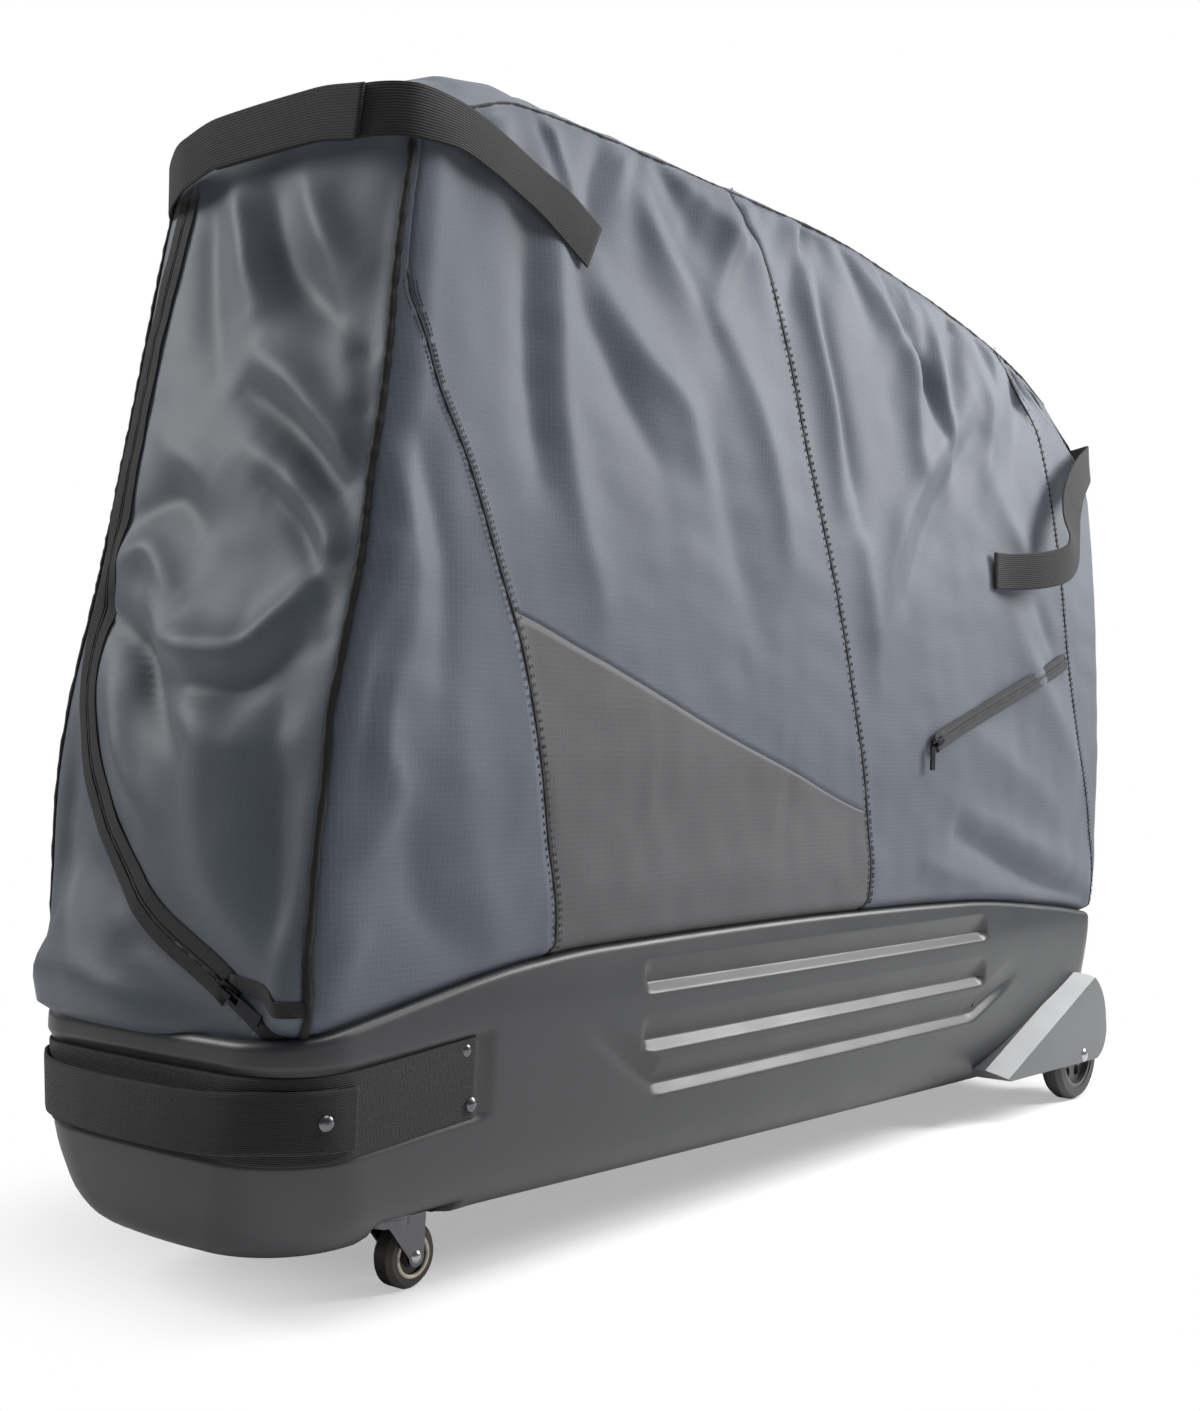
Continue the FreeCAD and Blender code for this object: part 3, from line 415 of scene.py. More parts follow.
# Cover: the closed bag in metres, its widths and seams as (height, place), its edges as (place along, height)
cover = {
    "front": [(.19, -.617), (.245, -.6145), (.30, -.611), (.42, -.594), (.54, -.565), (.68, -.540),
              (.82, -.519), (.94, -.500)],
    "rear": [(.19, .621), (.245, .638), (.30, .641), (.42, .634), (.54, .630), (.68, .628), (.82, .622),
             (.94, .606)],
    "near": [(.19, .147), (.245, .1505), (.30, .158), (.42, .166), (.54, .165), (.68, .157), (.82, .147),
             (.94, .132)],
    "far": [(.19, .147), (.245, .152), (.30, .165), (.42, .177), (.54, .178), (.68, .171), (.82, .159),
            (.94, .142)],
    "topEdge": [(-.60, .72), (-.56, .790), (-.512, .846), (-.480, .866), (-.452, .880), (-.400, .897),
                (-.300, .901), (0, .901), (.226, .878), (.363, .853), (.449, .829), (.538, .785),
                (.600, .722), (.640, .64), (.70, .43)],
    "crown": [(-.512, .014), (-.476, .038), (-.43, .036), (-.355, .030), (-.10, .028), (.30, .028),
              (.45, .026), (.56, .022), (.66, .010)],
    "rim": [(-.66, .207), (-.50, .225), (-.30, .242), (0, .246), (.30, .242), (.50, .226), (.66, .206)],
    "cornerSeam": [(.15, -.606), (.224, -.604), (.257, -.605), (.297, -.604), (.331, -.602), (.377, -.597),
                   (.418, -.592), (.466, -.581), (.529, -.565), (.593, -.553), (.643, -.543), (.688, -.535),
                   (.740, -.527), (.793, -.518), (.847, -.508), (.97, -.50)],
    "gussetSeam": [(.15, -.362), (.240, -.367), (.324, -.382), (.400, -.399), (.474, -.419), (.539, -.447),
                   (.609, -.476), (.662, -.504), (.710, -.522), (.80, -.58)],
    "centreSeam": [(.15, .095), (.247, .091), (.336, .081), (.423, .056), (.507, .032), (.599, .002),
                   (.690, -.026), (.779, -.051), (.844, -.076), (.890, -.116), (.97, -.16)],
    "rearSeam": [(.15, .62), (.240, .616), (.325, .596), (.420, .553), (.536, .521), (.645, .507),
                 (.764, .475), (.808, .430), (.841, .388), (.97, .22)],
    "rightEdge": [(.15, .606), (.2, .611), (.245, .620), (.30, .629), (.42, .630), (.54, .627), (.60, .627),
                  (.65, .624), (.70, .607), (.735, .586), (.780, .542), (.848, .412), (.97, .20)],
    "block": [(-.66, .515), (-.46, .507), (-.331, .471), (-.198, .427), (-.074, .389), (.09, .342),
              (.3, .318), (.68, .30)],
    "corner": 0.030, "frontBow": .008, "sideBow": .003, "thick": 0.0016,
    "hem": (-.1625, .238, .266),  # where the near cloth bends as the cover folds down: y, low and high z
    "frontDip": .012,  # how much lower the rim is at the nose
}
frontX, rearX = smoothLine(cover["front"]), smoothLine(cover["rear"])
halves = {-1: smoothLine(cover["near"]), 1: smoothLine(cover["far"])}
topEdge, crownOf = smoothLine(cover["topEdge"]), smoothLine(cover["crown"])
levelRim = smoothLine(cover["rim"])


def frontDip(x):
    return -cover["frontDip"] * (1 - ease(x, -.62, -.40))


def rimLine(x):
    return levelRim(x) + frontDip(x)


seamNames = ("cornerSeam", "gussetSeam", "centreSeam", "rearSeam", "rightEdge")
seamLines = [smoothLine(cover[name]) for name in seamNames]
blockLine = smoothLine(cover["block"])


def wallHalf(x, z, side):
    half = halves[side](z)
    r = cover["corner"]
    low, high = frontX(z) + r, rearX(z) - r
    t = (x - (low + high) / 2) / ((high - low) / 2)
    y = half + cover["sideBow"] * np.clip(1 - t * t, 0, 1)
    for gap in (low - x, x - high):
        gap = np.clip(gap, 0, r)
        y = y - r + np.sqrt(np.maximum(r * r - gap * gap, 0))
    return y


def frontPlan(y, z):
    r = cover["corner"]
    near, far = r - halves[-1](z), halves[1](z) - r
    t = (y - (near + far) / 2) / ((far - near) / 2)
    x = frontX(z) - cover["frontBow"] * np.clip(1 - t * t, 0, 1)
    for gap in (near - y, y - far):
        gap = np.clip(gap, 0, r)
        x = x + r - np.sqrt(np.maximum(r * r - gap * gap, 0))
    return x


# Folds: line, width and height in mm, the height negative for a valley
nearFolds = [
    ([(-323, 771), (-265, 722), (-214, 690), (-186, 632)], 24, 8),
    ([(-345, 760), (-290, 690), (-250, 640)], 18, -5), ([(-273, 881), (-239, 826), (-158, 772)], 22, 8),
    ([(-245, 875), (-205, 815), (-150, 745)], 16, -5), ([(-205, 895), (-150, 868), (-110, 849)], 18, 7),
    ([(-369, 829), (-372, 699), (-359, 599), (-330, 520)], 20, 6),
    ([(-402, 800), (-404, 700), (-395, 610)], 16, -5), ([(-140, 760), (-99, 697), (-59, 575)], 22, 6),
    ([(-300, 890), (-320, 850), (-330, 800)], 14, -5), ([(-180, 700), (-150, 600), (-120, 520)], 26, -4),
    ([(-20, 880), (-10, 812), (20, 720), (31, 640)], 16, 8),
    ([(10, 880), (25, 800), (48, 720), (66, 620)], 13, -6),
    ([(89, 883), (150, 830), (176, 799), (183, 693)], 18, 9),
    ([(150, 850), (174, 825), (220, 778), (240, 720)], 12, -8),
    ([(226, 868), (244, 751), (250, 690)], 16, 8), ([(280, 855), (275, 790), (262, 720)], 12, -6),
    ([(306, 784), (190, 684), (122, 593), (100, 520)], 20, 7),
    ([(320, 750), (220, 655), (150, 560)], 15, -5), ([(330, 845), (350, 780), (330, 700)], 16, 6),
    ([(60, 640), (75, 560), (95, 470)], 18, 4), ([(267, 318), (423, 273), (603, 230)], 15, -9),
    ([(255, 345), (420, 302), (590, 262)], 20, 6), ([(200, 290), (330, 262), (470, 240)], 14, 4),
    ([(-550, 538), (-585, 414), (-588, 387)], 12, 6), ([(-556, 512), (-574, 405), (-592, 327)], 10, -6),
    ([(-552, 445), (-558, 401), (-545, 370), (-570, 320)], 11, 5), ([(-568, 285), (-598, 235)], 13, 5),
    ([(-540, 600), (-530, 520), (-540, 450)], 14, 4), ([(-525, 620), (-500, 520), (-505, 430)], 16, -4),
    ([(-490, 430), (-470, 330), (-440, 270)], 26, 4), ([(-530, 350), (-520, 300), (-470, 250)], 16, -4),
    ([(340, 700), (400, 640), (450, 560)], 22, 5), ([(380, 560), (460, 470), (540, 400)], 26, 5),
    ([(420, 600), (490, 520)], 16, -4), ([(300, 420), (400, 380), (520, 330)], 24, 4),
]
frontFolds = [
    ([(8, 821), (-21, 760), (-72, 719), (-113, 691)], 20, -10), ([(48, 835), (20, 780), (1, 730)], 18, 9),
    ([(-30, 830), (-60, 780), (-100, 745)], 16, 6), ([(80, 820), (70, 760), (40, 690)], 18, -6),
    ([(-14, 689), (-58, 662), (-134, 595)], 16, 10), ([(0, 665), (-60, 632), (-130, 570)], 14, -8),
    ([(-20, 620), (-70, 590), (-134, 530)], 16, 7), ([(-40, 590), (-80, 560), (-130, 500)], 12, -6),
    ([(124, 546), (90, 551), (31, 508)], 15, 8), ([(120, 580), (70, 590), (20, 560)], 16, -6),
    ([(100, 640), (60, 620), (20, 600)], 18, 5),
    ([(64, 505), (22, 473), (-52, 466), (-91, 493), (-120, 530)], 16, 11),
    ([(75, 480), (20, 446), (-50, 438), (-105, 470)], 14, -8),
    ([(141, 509), (67, 469), (48, 442), (-19, 392)], 12, -8), ([(99, 449), (57, 388), (20, 350)], 16, 8),
    ([(-20, 430), (-70, 400), (-130, 400)], 20, 6),
    ([(10, 470), (-30, 400), (-58, 330), (-78, 268)], 34, 12),
    ([(-100, 440), (-112, 350), (-124, 268)], 18, -7), ([(124, 226), (1, 226), (-84, 226)], 13, 7),
    ([(-60, 800), (-80, 740), (-120, 640)], 16, 4), ([(120, 330), (90, 280), (60, 240)], 18, 6),
    ([(140, 400), (130, 330), (120, 260)], 14, -5),
]
pinches = [(-131, 681), (-137, 637), (-140, 586), (-138, 529), (-139, 473)]


def nearestOn(u, v, start, end):
    # How far along a straight line each place lies, and how far from it
    way = end - start
    share = np.clip(((u - start[0]) * way[0] + (v - start[1]) * way[1]) / (way @ way), 0, 1)
    return share, np.hypot(u - start[0] - share * way[0], v - start[1] - share * way[1])


def foldHeight(u, v, folds):
    total = np.zeros_like(u)
    for points, width, lift in folds:
        line = curveThrough(np.array(points) / 1000, 24)
        best = np.full(u.shape, 9.0)
        where = np.zeros(u.shape)
        for i in range(len(line) - 1):
            share, away = nearestOn(u, v, line[i], line[i + 1])
            closer = away < best
            best = np.where(closer, away, best)
            where = np.where(closer, (i + share) / (len(line) - 1), where)
        end = np.sin(np.pi * (0.12 + 0.76 * where)) ** 0.8  # dies away at both ends
        total += 1.7 * lift / 1000 * np.exp(-((best / (width / 1000)) ** 2 + .12) ** .72) * end
    return total


def ripple(u, v, seed, size, count=14):
    rng = np.random.default_rng(seed)
    total = np.zeros_like(u)
    for _ in range(count):
        a, f, p = rng.uniform(0, math.pi), rng.uniform(.5, 1.6) / size, rng.uniform(0, 6.28)
        total += np.sin(2 * math.pi * f * (u * math.cos(a) + v * math.sin(a)) + p + 1.5 * np.sin(7 * v + p))
    return total / count


def pleats(x, z, seed, count):
    # Short straight folds drawn in by the top seam
    rng = np.random.default_rng(seed)
    total = np.zeros_like(x)
    for _ in range(count):
        x0 = rng.uniform(-.44, .46)
        length, lean = rng.uniform(.04, .17), rng.uniform(-.7, .7)
        width, lift = rng.uniform(.006, .013), rng.uniform(.0015, .0045) * rng.choice((-1, 1))
        down = (topEdge(x0) - z) / length
        side = (x - x0 - lean * (topEdge(x0) - z)) / (width * (1 + 1.2 * np.clip(down, 0, 1)))
        total += lift * np.exp(-side * side) * ease(down, -.02, .10) * (1 - ease(down, .3, 1.0))
    return total


# Columns of a wall between its seams, rows below and above the block's edge, and the seams' own columns
wallColumns, blockRows, upperRows = (22, 104, 104, 26), 44, 84
gussetCol, centreCol, rearCol = (sum(wallColumns[:k]) for k in (1, 2, 3))


def wallGrid(side):
    cols = [np.linspace(k, k + 1, n, endpoint=False) for k, n in enumerate(wallColumns)]
    cols = np.concatenate(cols + [[4.0]])
    rows = np.concatenate([np.linspace(0, 1, blockRows, endpoint=False), np.linspace(1, 2, upperRows + 1)])
    c, r = np.meshgrid(cols, rows)
    z = np.full(c.shape, .5)
    band = np.minimum(c.astype(int), 3)
    share = c - band
    for _ in range(60):
        lines = [seamLines[0](z)]
        gap = seamLines[1](z) - lines[0] - .004
        lines.append(lines[0] + .004 + (gap + np.sqrt(gap * gap + .0001)) / 2)
        lines += [f(z) for f in seamLines[2:]]
        lines[4] = np.maximum(lines[4], lines[3] + .004)
        stack = np.stack(lines)
        low = np.take_along_axis(stack, band[None], 0)[0]
        high = np.take_along_axis(stack, band[None] + 1, 0)[0]
        x = low + share * (high - low)
        bottom, top = rimLine(x) - .014, topEdge(x)
        middle = np.clip(blockLine(x), bottom + .05, top - .05)
        goal = np.where(r <= 1, bottom + r * (middle - bottom), middle + (r - 1) * (top - middle))
        z = z + 0.6 * (goal - z)
    return np.stack([x, side * wallHalf(x, z, side), z], axis=2), c, r


nearGrid, nearCols, nearRows = wallGrid(-1)
farGrid, farCols, farRows = wallGrid(1)
print("stage: cover shape", nearGrid.shape)


def seamFade(grid, cols, reach):
    band = np.minimum(cols.astype(int), 3)
    share = cols - band
    side = np.minimum(share, 1 - share) * np.array([.10, .50, .50, .06])[band]
    top = topEdge(grid[..., 0]) - grid[..., 2]
    low = grid[..., 2] - rimLine(grid[..., 0])
    return ease(side, -.004, reach) * ease(top, -.004, reach) * ease(low, -.012, reach * 2)


def relief(grid, cols, folds, seed):
    x, z = grid[..., 0], grid[..., 2]
    height = foldHeight(x, z, folds) + .0028 * ripple(x, z, seed, .20)
    height = height + .0012 * ripple(x, z, seed + 1, .06, 20) + pleats(x, z, seed + 2, 46)
    height = height * seamFade(grid, cols, .014)
    normal = facing(gridNormals(grid), 1, np.sign(grid[..., 1:2]))
    return grid + normal * (height + rimRoll(x, z, .006))[..., None]


def frontHang(x, z):
    above = z - rimLine(x)
    return .0150 * (1 - ease(above, .03, .12)) - .003 * (1 - ease(above, -.016, -.004))


def rimRoll(x, z, size):
    above = z - rimLine(x)
    return size * ease(above, .001, .016) * (1 - ease(above, .03, .11)) - .0055 * (1 - ease(above, 0, .012))


nearGrid = relief(nearGrid, nearCols, nearFolds, 3)
farGrid = relief(farGrid, farCols, [], 8)
nearChart = np.stack([nearGrid[..., 0], nearGrid[..., 2]], axis=2)
farChart = np.stack([farGrid[..., 0], farGrid[..., 2]], axis=2)

# Top and rear band between the two walls
def bandGrid():
    near = np.concatenate([nearGrid[-1], nearGrid[-2::-1, -1]])
    far = np.concatenate([farGrid[-1], farGrid[-2::-1, -1]])
    middle = (near + far) / 2
    along = unit(np.gradient(middle, axis=0) * (1, 0, 1))
    out = np.stack([-along[:, 2], 0 * along[:, 1], along[:, 0]], axis=1)
    v = np.concatenate([[0, .008, .02, .035, .055, .08], np.linspace(.11, .89, 40),
                        [.92, .945, .965, .98, .992, 1]])
    profile = 1 - np.abs(2 * v - 1) ** 3.6
    rise = crownOf(middle[:, 0]) * ease(middle[:, 2], .30, .66) + .008 * (1 - ease(middle[:, 2], .30, .66))
    s = lengthAlong(middle)
    grid = near[:, None] * (1 - v)[None, :, None] + far[:, None] * v[None, :, None]
    grid = grid + out[:, None] * (rise[:, None] * profile[None])[..., None]
    u, w = np.meshgrid(v * .3, s)
    fade = ease(np.minimum(v, 1 - v) * .3, 0, .03)[None]
    fade = fade * ease(s, 0, .03)[:, None] * ease(s[-1] - s, 0, .05)[:, None]
    height = .008 * ripple(w, u, 21, .12) + .0055 * ripple(w, u, 22, .045, 18)
    grid = grid + out[:, None] * (height * fade)[..., None]
    return grid, np.stack([w, u], axis=2)


topGrid, topChart = bandGrid()

mainZip = smoothLine([(.199, -.130), (.209, -.1155), (.219, -.1005), (.235, -.079), (.277, 0), (.350, .078),
                      (.405, .116), (.465, .137), (.530, .142), (.600, .141), (.715, .134), (.827, .116),
                      (.97, .096)])
# Where the slider and its pull travel, in y and z, and the plane that the cloth keeps under them
zipBed = {"from": (-.124, .212), "to": (-.004, .273), "reach": .034, "on": (-.6192, -.086, .2318),
          "out": (-.997, -.061, .045)}


def zipShare(y, z):
    _, away = nearestOn(y, z, np.array(zipBed["from"]), np.array(zipBed["to"]))
    return np.exp(-(away / zipBed["reach"]) ** 3)


# Front between the two corner seams
def frontGrid():
    near, far = nearGrid[:, 0], farGrid[:, 0]
    v = np.linspace(0, 1, 64)
    y = near[:, 1:2] * (1 - v) + far[:, 1:2] * v
    z = near[:, 2:3] * (1 - v) + far[:, 2:3] * v
    x = frontPlan(y, z)
    for edge, share in ((near, 1 - v), (far, v)):
        x += (edge[:, :1] - frontPlan(edge[:, 1:2], edge[:, 2:3])) * share
    grid = np.stack([x, y, z], axis=2)
    share = np.linspace(0, 1, len(near))[:, None] ** 5
    steps = np.linspace(0, 1, topGrid.shape[1])
    edge = np.stack([np.interp(v, steps, topGrid[0, :, k]) for k in range(3)], axis=1)
    grid = grid + (edge[None] - grid[-1:]) * share[..., None]
    fade = ease(np.minimum(v, 1 - v), 0, .09)[None] * ease(z[-1:] - z, 0, .04) * ease(z, .205, .25)
    height = foldHeight(y, z, frontFolds) + .003 * ripple(y, z, 31, .16) + .0013 * ripple(y, z, 32, .05, 18)
    for py, pz in pinches:
        height = height - .004 * np.exp(-(((y - py / 1000) / .016) ** 2 + ((z - pz / 1000) / .007) ** 2))
    normal = facing(gridNormals(grid), 0, -1)
    hang = frontHang(x, z) * ease(np.minimum(v, 1 - v), .02, .14)[None] * ease(y - mainZip(z), .012, .06)
    bed = zipShare(y, z) * ease(v, 0, .12)[None]
    grid = grid + normal * ((height * fade + hang) * (1 - bed))[..., None]
    (onX, onY, onZ), (outX, outY, outZ) = zipBed["on"], zipBed["out"]
    grid[..., 0] += bed * (onX - (outY * (y - onY) + outZ * (z - onZ)) / outX - grid[..., 0])
    return grid, np.stack([y, z], axis=2)


frontGridMesh, frontChart = frontGrid()
print("stage: cover folded")

def rearZip(z):
    return mainZip(z) + ease(z, .70, .82) * (.151 - mainZip(z))


def cellCentre(grid):
    return (grid[:-1, :-1] + grid[1:, :-1] + grid[:-1, 1:] + grid[1:, 1:]) / 4


def carry(item, body):
    if body == "both":
        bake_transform(item)
    else:
        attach(item, body)


def clothPiece(name, grid, keep, chart, faces, look, body, nodes):
    normal = gridNormals(grid)
    if normal[grid.shape[0] // 2, grid.shape[1] // 2] @ np.array(faces) < 0:
        grid, chart, keep = grid[:, ::-1], chart[:, ::-1], keep[:, ::-1]
        normal = gridNormals(grid)
    item, area = shell(name, grid, keep, cover["thick"], chart, normal)
    inside = np.zeros(grid.shape[:2], bool)
    for a, b in ((0, 0), (1, 0), (0, 1), (1, 1)):
        inside[a:a + keep.shape[0], b:b + keep.shape[1]] |= keep
    spots = chart[inside]
    size = spots.max(axis=0) - spots.min(axis=0)
    dress(item, look, "cloth" if look == "front_cloth" else look, *nodes)
    carry(item, body)
    long, wide = float(max(size)), float(min(size))
    if area < 0.4 * long * wide:
        wide = area / long / 0.9  # a curved strip, cut from a narrower length


def between(steps, low, high):
    middle = (steps[:-1] + steps[1:]) / 2
    return (middle > low) & (middle < high)


hoops = ["front_hoop", "rear_hoop"]
walls = {"near": (nearGrid, nearRows[:, 0], nearCols[0], nearChart, (0, -1, 0)),
         "far": (farGrid, farRows[:, 0], farCols[0], farChart, (0, 1, 0))}
wallPieces = [  # name, wall, its rows and columns, look, what carries it, the nodes it stands for
    ("nearGusset", "near", (0, 2), (0, 1), "cloth", "both", ["near_front_gusset", "near_hem"]),
    ("nearBlock", "near", (0, 1), (1, 2), "block_cloth", "both", ["near_lower_block"]),
    ("nearCentre", "near", (1, 2), (1, 2), "cloth", "cover", ["near_centre_panel"]),
    ("nearRear", "near", (0, 2), (2, 3), "cloth", "both", ["near_rear_panel"]),
    ("nearRearCorner", "near", (0, 2), (3, 4), "cloth", "both", []),
    ("farGusset", "far", (0, 2), (0, 1), "cloth", "root", ["far_front_gusset"]),
    ("farBlock", "far", (0, 1), (1, 2), "block_cloth", "root", ["far_lower_block"]),
    ("farCentre", "far", (1, 2), (1, 2), "cloth", "root", ["far_centre_panel"]),
    ("farRear", "far", (0, 2), (2, 4), "cloth", "root", ["far_rear_panel"]),
]
for name, wall, rowRange, colRange, look, body, nodes in wallPieces:
    grid, rows, cols, chart, faces = walls[wall]
    keep = between(rows, *rowRange)[:, None] & between(cols, *colRange)[None]
    clothPiece(name, grid, keep, chart, faces, look, body, nodes)

topCells = cellCentre(topGrid)
alongTop = np.zeros(topCells.shape[:2], bool)
alongTop[:rearCol] = True
farSideOfZip = topCells[..., 1] > rearZip(topCells[..., 2])
for name, keep, body, nodes, restsOn in (
        ("top", alongTop, "cover", ["top_panel"], hoops),
        ("rearUpper", ~alongTop & ~farSideOfZip, "cover", ["rear_upper_panel"], ["rear_hoop"]),
        ("rearLower", ~alongTop & farSideOfZip, "root", ["rear_lower_panel"], ["rear_hoop"])):
    clothPiece(name, topGrid, keep, topChart, (0, 0, 1), "cloth", body, nodes)
frontCells = cellCentre(frontGridMesh)
lowerFront = frontCells[..., 1] > mainZip(frontCells[..., 2])
for name, keep, body, nodes in (("frontUpper", ~lowerFront, "cover", ["front_upper_panel"]),
                                ("frontLower", lowerFront, "root", ["front_lower_panel"])):
    clothPiece(name, frontGridMesh, keep, frontChart, (-1, 0, 0), "front_cloth", body, nodes)
print("stage: cover pieces")

# Camera and light

view = {"at": (-1.386, -1.0415, 0.3971), "yaw": 50.42, "pitch": 1.586, "roll": 0.0119,
        "lens": 44.62, "filmHeight": 36}
camera = bpy.data.objects.new("camera", bpy.data.cameras.new("camera"))
bpy.context.scene.collection.objects.link(camera)
yaw, pitch, roll = math.radians(view["yaw"]), math.radians(view["pitch"]), view["roll"]
forward = Vector((math.sin(yaw) * math.cos(pitch), math.cos(yaw) * math.cos(pitch), math.sin(pitch)))
right = Vector((math.cos(yaw), -math.sin(yaw), 0))
up = right.cross(forward)
sideways = right * math.cos(roll) + up * math.sin(roll)
upward = up * math.cos(roll) - right * math.sin(roll)
turned = Matrix((sideways, upward, -forward)).transposed().to_4x4()
camera.matrix_world = Matrix.Translation(view["at"]) @ turned
camera.data.sensor_fit = "VERTICAL"
camera.data.sensor_height = view["filmHeight"]
camera.data.lens = view["lens"]
camera.data.clip_start = 0.05
bpy.context.scene.camera = camera

# The floor fades out away from the case, for the camera only
room = {"floorWhite": 0.86, "floorSize": 9.0, "middle": (.10, -.04, 0), "footprint": (.50, .17, 0),
        "clearFrom": .02, "clearTo": .34, "leastClear": .4, "skyLight": 0.17}
lamps = [
    {"name": "above", "at": (0.1, -0.75, 2.7), "aim": (0, 0, .3), "size": (1.8, 1.3), "power": 70},
    {"name": "right", "at": (2.0, -1.4, 1.6), "aim": (.1, 0, .5), "size": (0.9, 1.1), "power": 80},
    {"name": "left", "at": (-1.7, 2.05, 1.9), "aim": (-.4, 0, .5), "size": (1.1, 1.4), "power": 53},
    {"name": "back", "at": (1.6, 1.9, 2.4), "aim": (0.2, 0, .3), "size": (2.0, 1.6), "power": 10},
]
for lamp in lamps:
    data = bpy.data.lights.new(lamp["name"], "AREA")
    data.shape = "RECTANGLE"
    data.size, data.size_y = lamp["size"]
    data.energy = lamp["power"]
    item = bpy.data.objects.new(lamp["name"], data)
    bpy.context.scene.collection.objects.link(item)
    item.location = lamp["at"]
    item.rotation_euler = (Vector(lamp["aim"]) - Vector(lamp["at"])).to_track_quat("-Z", "Y").to_euler()


def mixTo(tree, factor, low, high, output):
    mix = node(tree, "ShaderNodeMixShader")
    for slot, value in enumerate((factor, low.outputs[0], high.outputs[0])):
        tree.links.new(value, mix.inputs[slot])
    tree.links.new(mix.outputs[0], output.inputs[0])


world = bpy.data.worlds.new("studio")
bpy.context.scene.world = world
world.use_nodes = True
tree = world.node_tree
tree.nodes.clear()
seen = node(tree, "ShaderNodeBackground", Color=(1, 1, 1, 1), Strength=1.0)
lit = node(tree, "ShaderNodeBackground", Color=(.97, .98, 1, 1), Strength=room["skyLight"])
seenByCamera = node(tree, "ShaderNodeLightPath").outputs["Is Camera Ray"]
mixTo(tree, seenByCamera, lit, seen, node(tree, "ShaderNodeOutputWorld"))
h = room["floorSize"]
floor = addMesh("floor", [(-h, -h, 0), (h, -h, 0), (h, h, 0), (-h, h, 0)], [(0, 1, 2, 3)], smooth=False)
floorLook = bpy.data.materials.new("floor")
floorLook.use_nodes = True
tree = floorLook.node_tree
tree.nodes.clear()
place = node(tree, "ShaderNodeNewGeometry").outputs["Position"]
for operation, value in (("SUBTRACT", room["middle"]), ("ABSOLUTE", None), ("SUBTRACT", room["footprint"]),
                         ("MAXIMUM", (0, 0, 0)), ("LENGTH", None)):
    reach = node(tree, "ShaderNodeVectorMath", operation=operation)
    tree.links.new(place, reach.inputs[0])
    if value:
        reach.inputs[1].default_value = value
    place = reach.outputs[0]
fadeOut = node(tree, "ShaderNodeMapRange", interpolation_type="SMOOTHSTEP", From_Min=room["clearFrom"],
               From_Max=room["clearTo"], To_Min=room["leastClear"])
tree.links.new(reach.outputs["Value"], fadeOut.inputs["Value"])
pale = node(tree, "ShaderNodeBsdfDiffuse", Color=(room["floorWhite"],) * 3 + (1,))
seenByCamera = node(tree, "ShaderNodeLightPath").outputs["Is Camera Ray"]
clear = node(tree, "ShaderNodeBsdfTransparent")
faded = mathNode(tree, "MULTIPLY", fadeOut.outputs[0], seenByCamera)
mixTo(tree, faded, pale, clear, node(tree, "ShaderNodeOutputMaterial"))
floor.data.materials.append(floorLook)
bpy.context.scene.view_settings.view_transform = "Standard"
print("stage: camera and light")

# Tub: one moulded shell with louvres, a strap channel, wheel wells and caster pockets
tub = {  # rows: height, front, rear, half width, front and rear corner radius, share of the floor's slope
    "rows": [(.044, -.588, .590, .098, .060, .060, 1.0), (.048, -.608, .606, .117, .075, .075, 1.0),
             (.060, -.621, .616, .133, .082, .080, .9), (.082, -.629, .624, .145, .082, .076, .7),
             (.112, -.633, .629, .152, .076, .066, .5), (.150, -.635, .633, .156, .070, .054, .25),
             (.200, -.633, .637, .1575, .062, .042, 0), (.262, -.626, .636, .1495, .056, .036, 0)],
    "bows": (.002, .005, .004), "slope": math.radians(.9), "wall": .004, "lip": .007, "overRim": .003,
    "floor": .0435, "turn": .098, "highest": .25,  # the rings are level up to the turn, then follow the rim
    "louvres": [(.206, .230, -.254, .339), (.158, .184, -.256, .335), (.120, .146, -.239, .317)],
    "legs": [((-.239, .120), (-.336, .177)), ((.317, .120), (.423, .161))],
    "depth": .0075, "ledge": .0046, "channel": (.131, .194, -.444, .0034),
    "well": (.561, .052, .061, .124), "pocket": (-.486, .098, .042, .034, .0668),
}
tubLines = [smoothLine([(row[0], row[k]) for row in tub["rows"]]) for k in range(1, 7)]


def tubOutline(z):
    front, rear, half, fore, aft, share = [f(z) for f in tubLines]
    frontBow, rearBow, sideBow = tub["bows"]
    spots = []

    def flat(a, b, bow, away, count):
        for t in np.linspace(0, 1, count, endpoint=False):
            spots.append((a[0] + t * (b[0] - a[0]) + away[0] * bow * 4 * t * (1 - t),
                          a[1] + t * (b[1] - a[1]) + away[1] * bow * 4 * t * (1 - t)))

    def bend(centre, radius, start, count):
        for t in np.linspace(0, 1, count, endpoint=False):
            a = math.radians(start + 90 * t)
            spots.append((centre[0] + radius * math.cos(a), centre[1] + radius * math.sin(a)))

    flat((front + fore, -half), (rear - aft, -half), sideBow, (0, -1), 250)
    bend((rear - aft, aft - half), aft, -90, 16)
    flat((rear, aft - half), (rear, half - aft), rearBow, (1, 0), 36)
    bend((rear - aft, half - aft), aft, 0, 16)
    flat((rear - aft, half), (front + fore, half), sideBow, (0, 1), 250)
    bend((front + fore, half - fore), fore, 90, 22)
    flat((front, half - fore), (front, fore - half), frontBow, (-1, 0), 40)
    bend((front + fore, fore - half), fore, 180, 22)
    return np.array(spots), float(share)


def louvreFall(over, ledge, tall):
    # Steep over the ledge, then slowly back out to the wall
    return np.clip((over + ledge) / (2 * ledge), 0, 1) * (1 - np.clip((over - ledge) / tall, 0, 1))


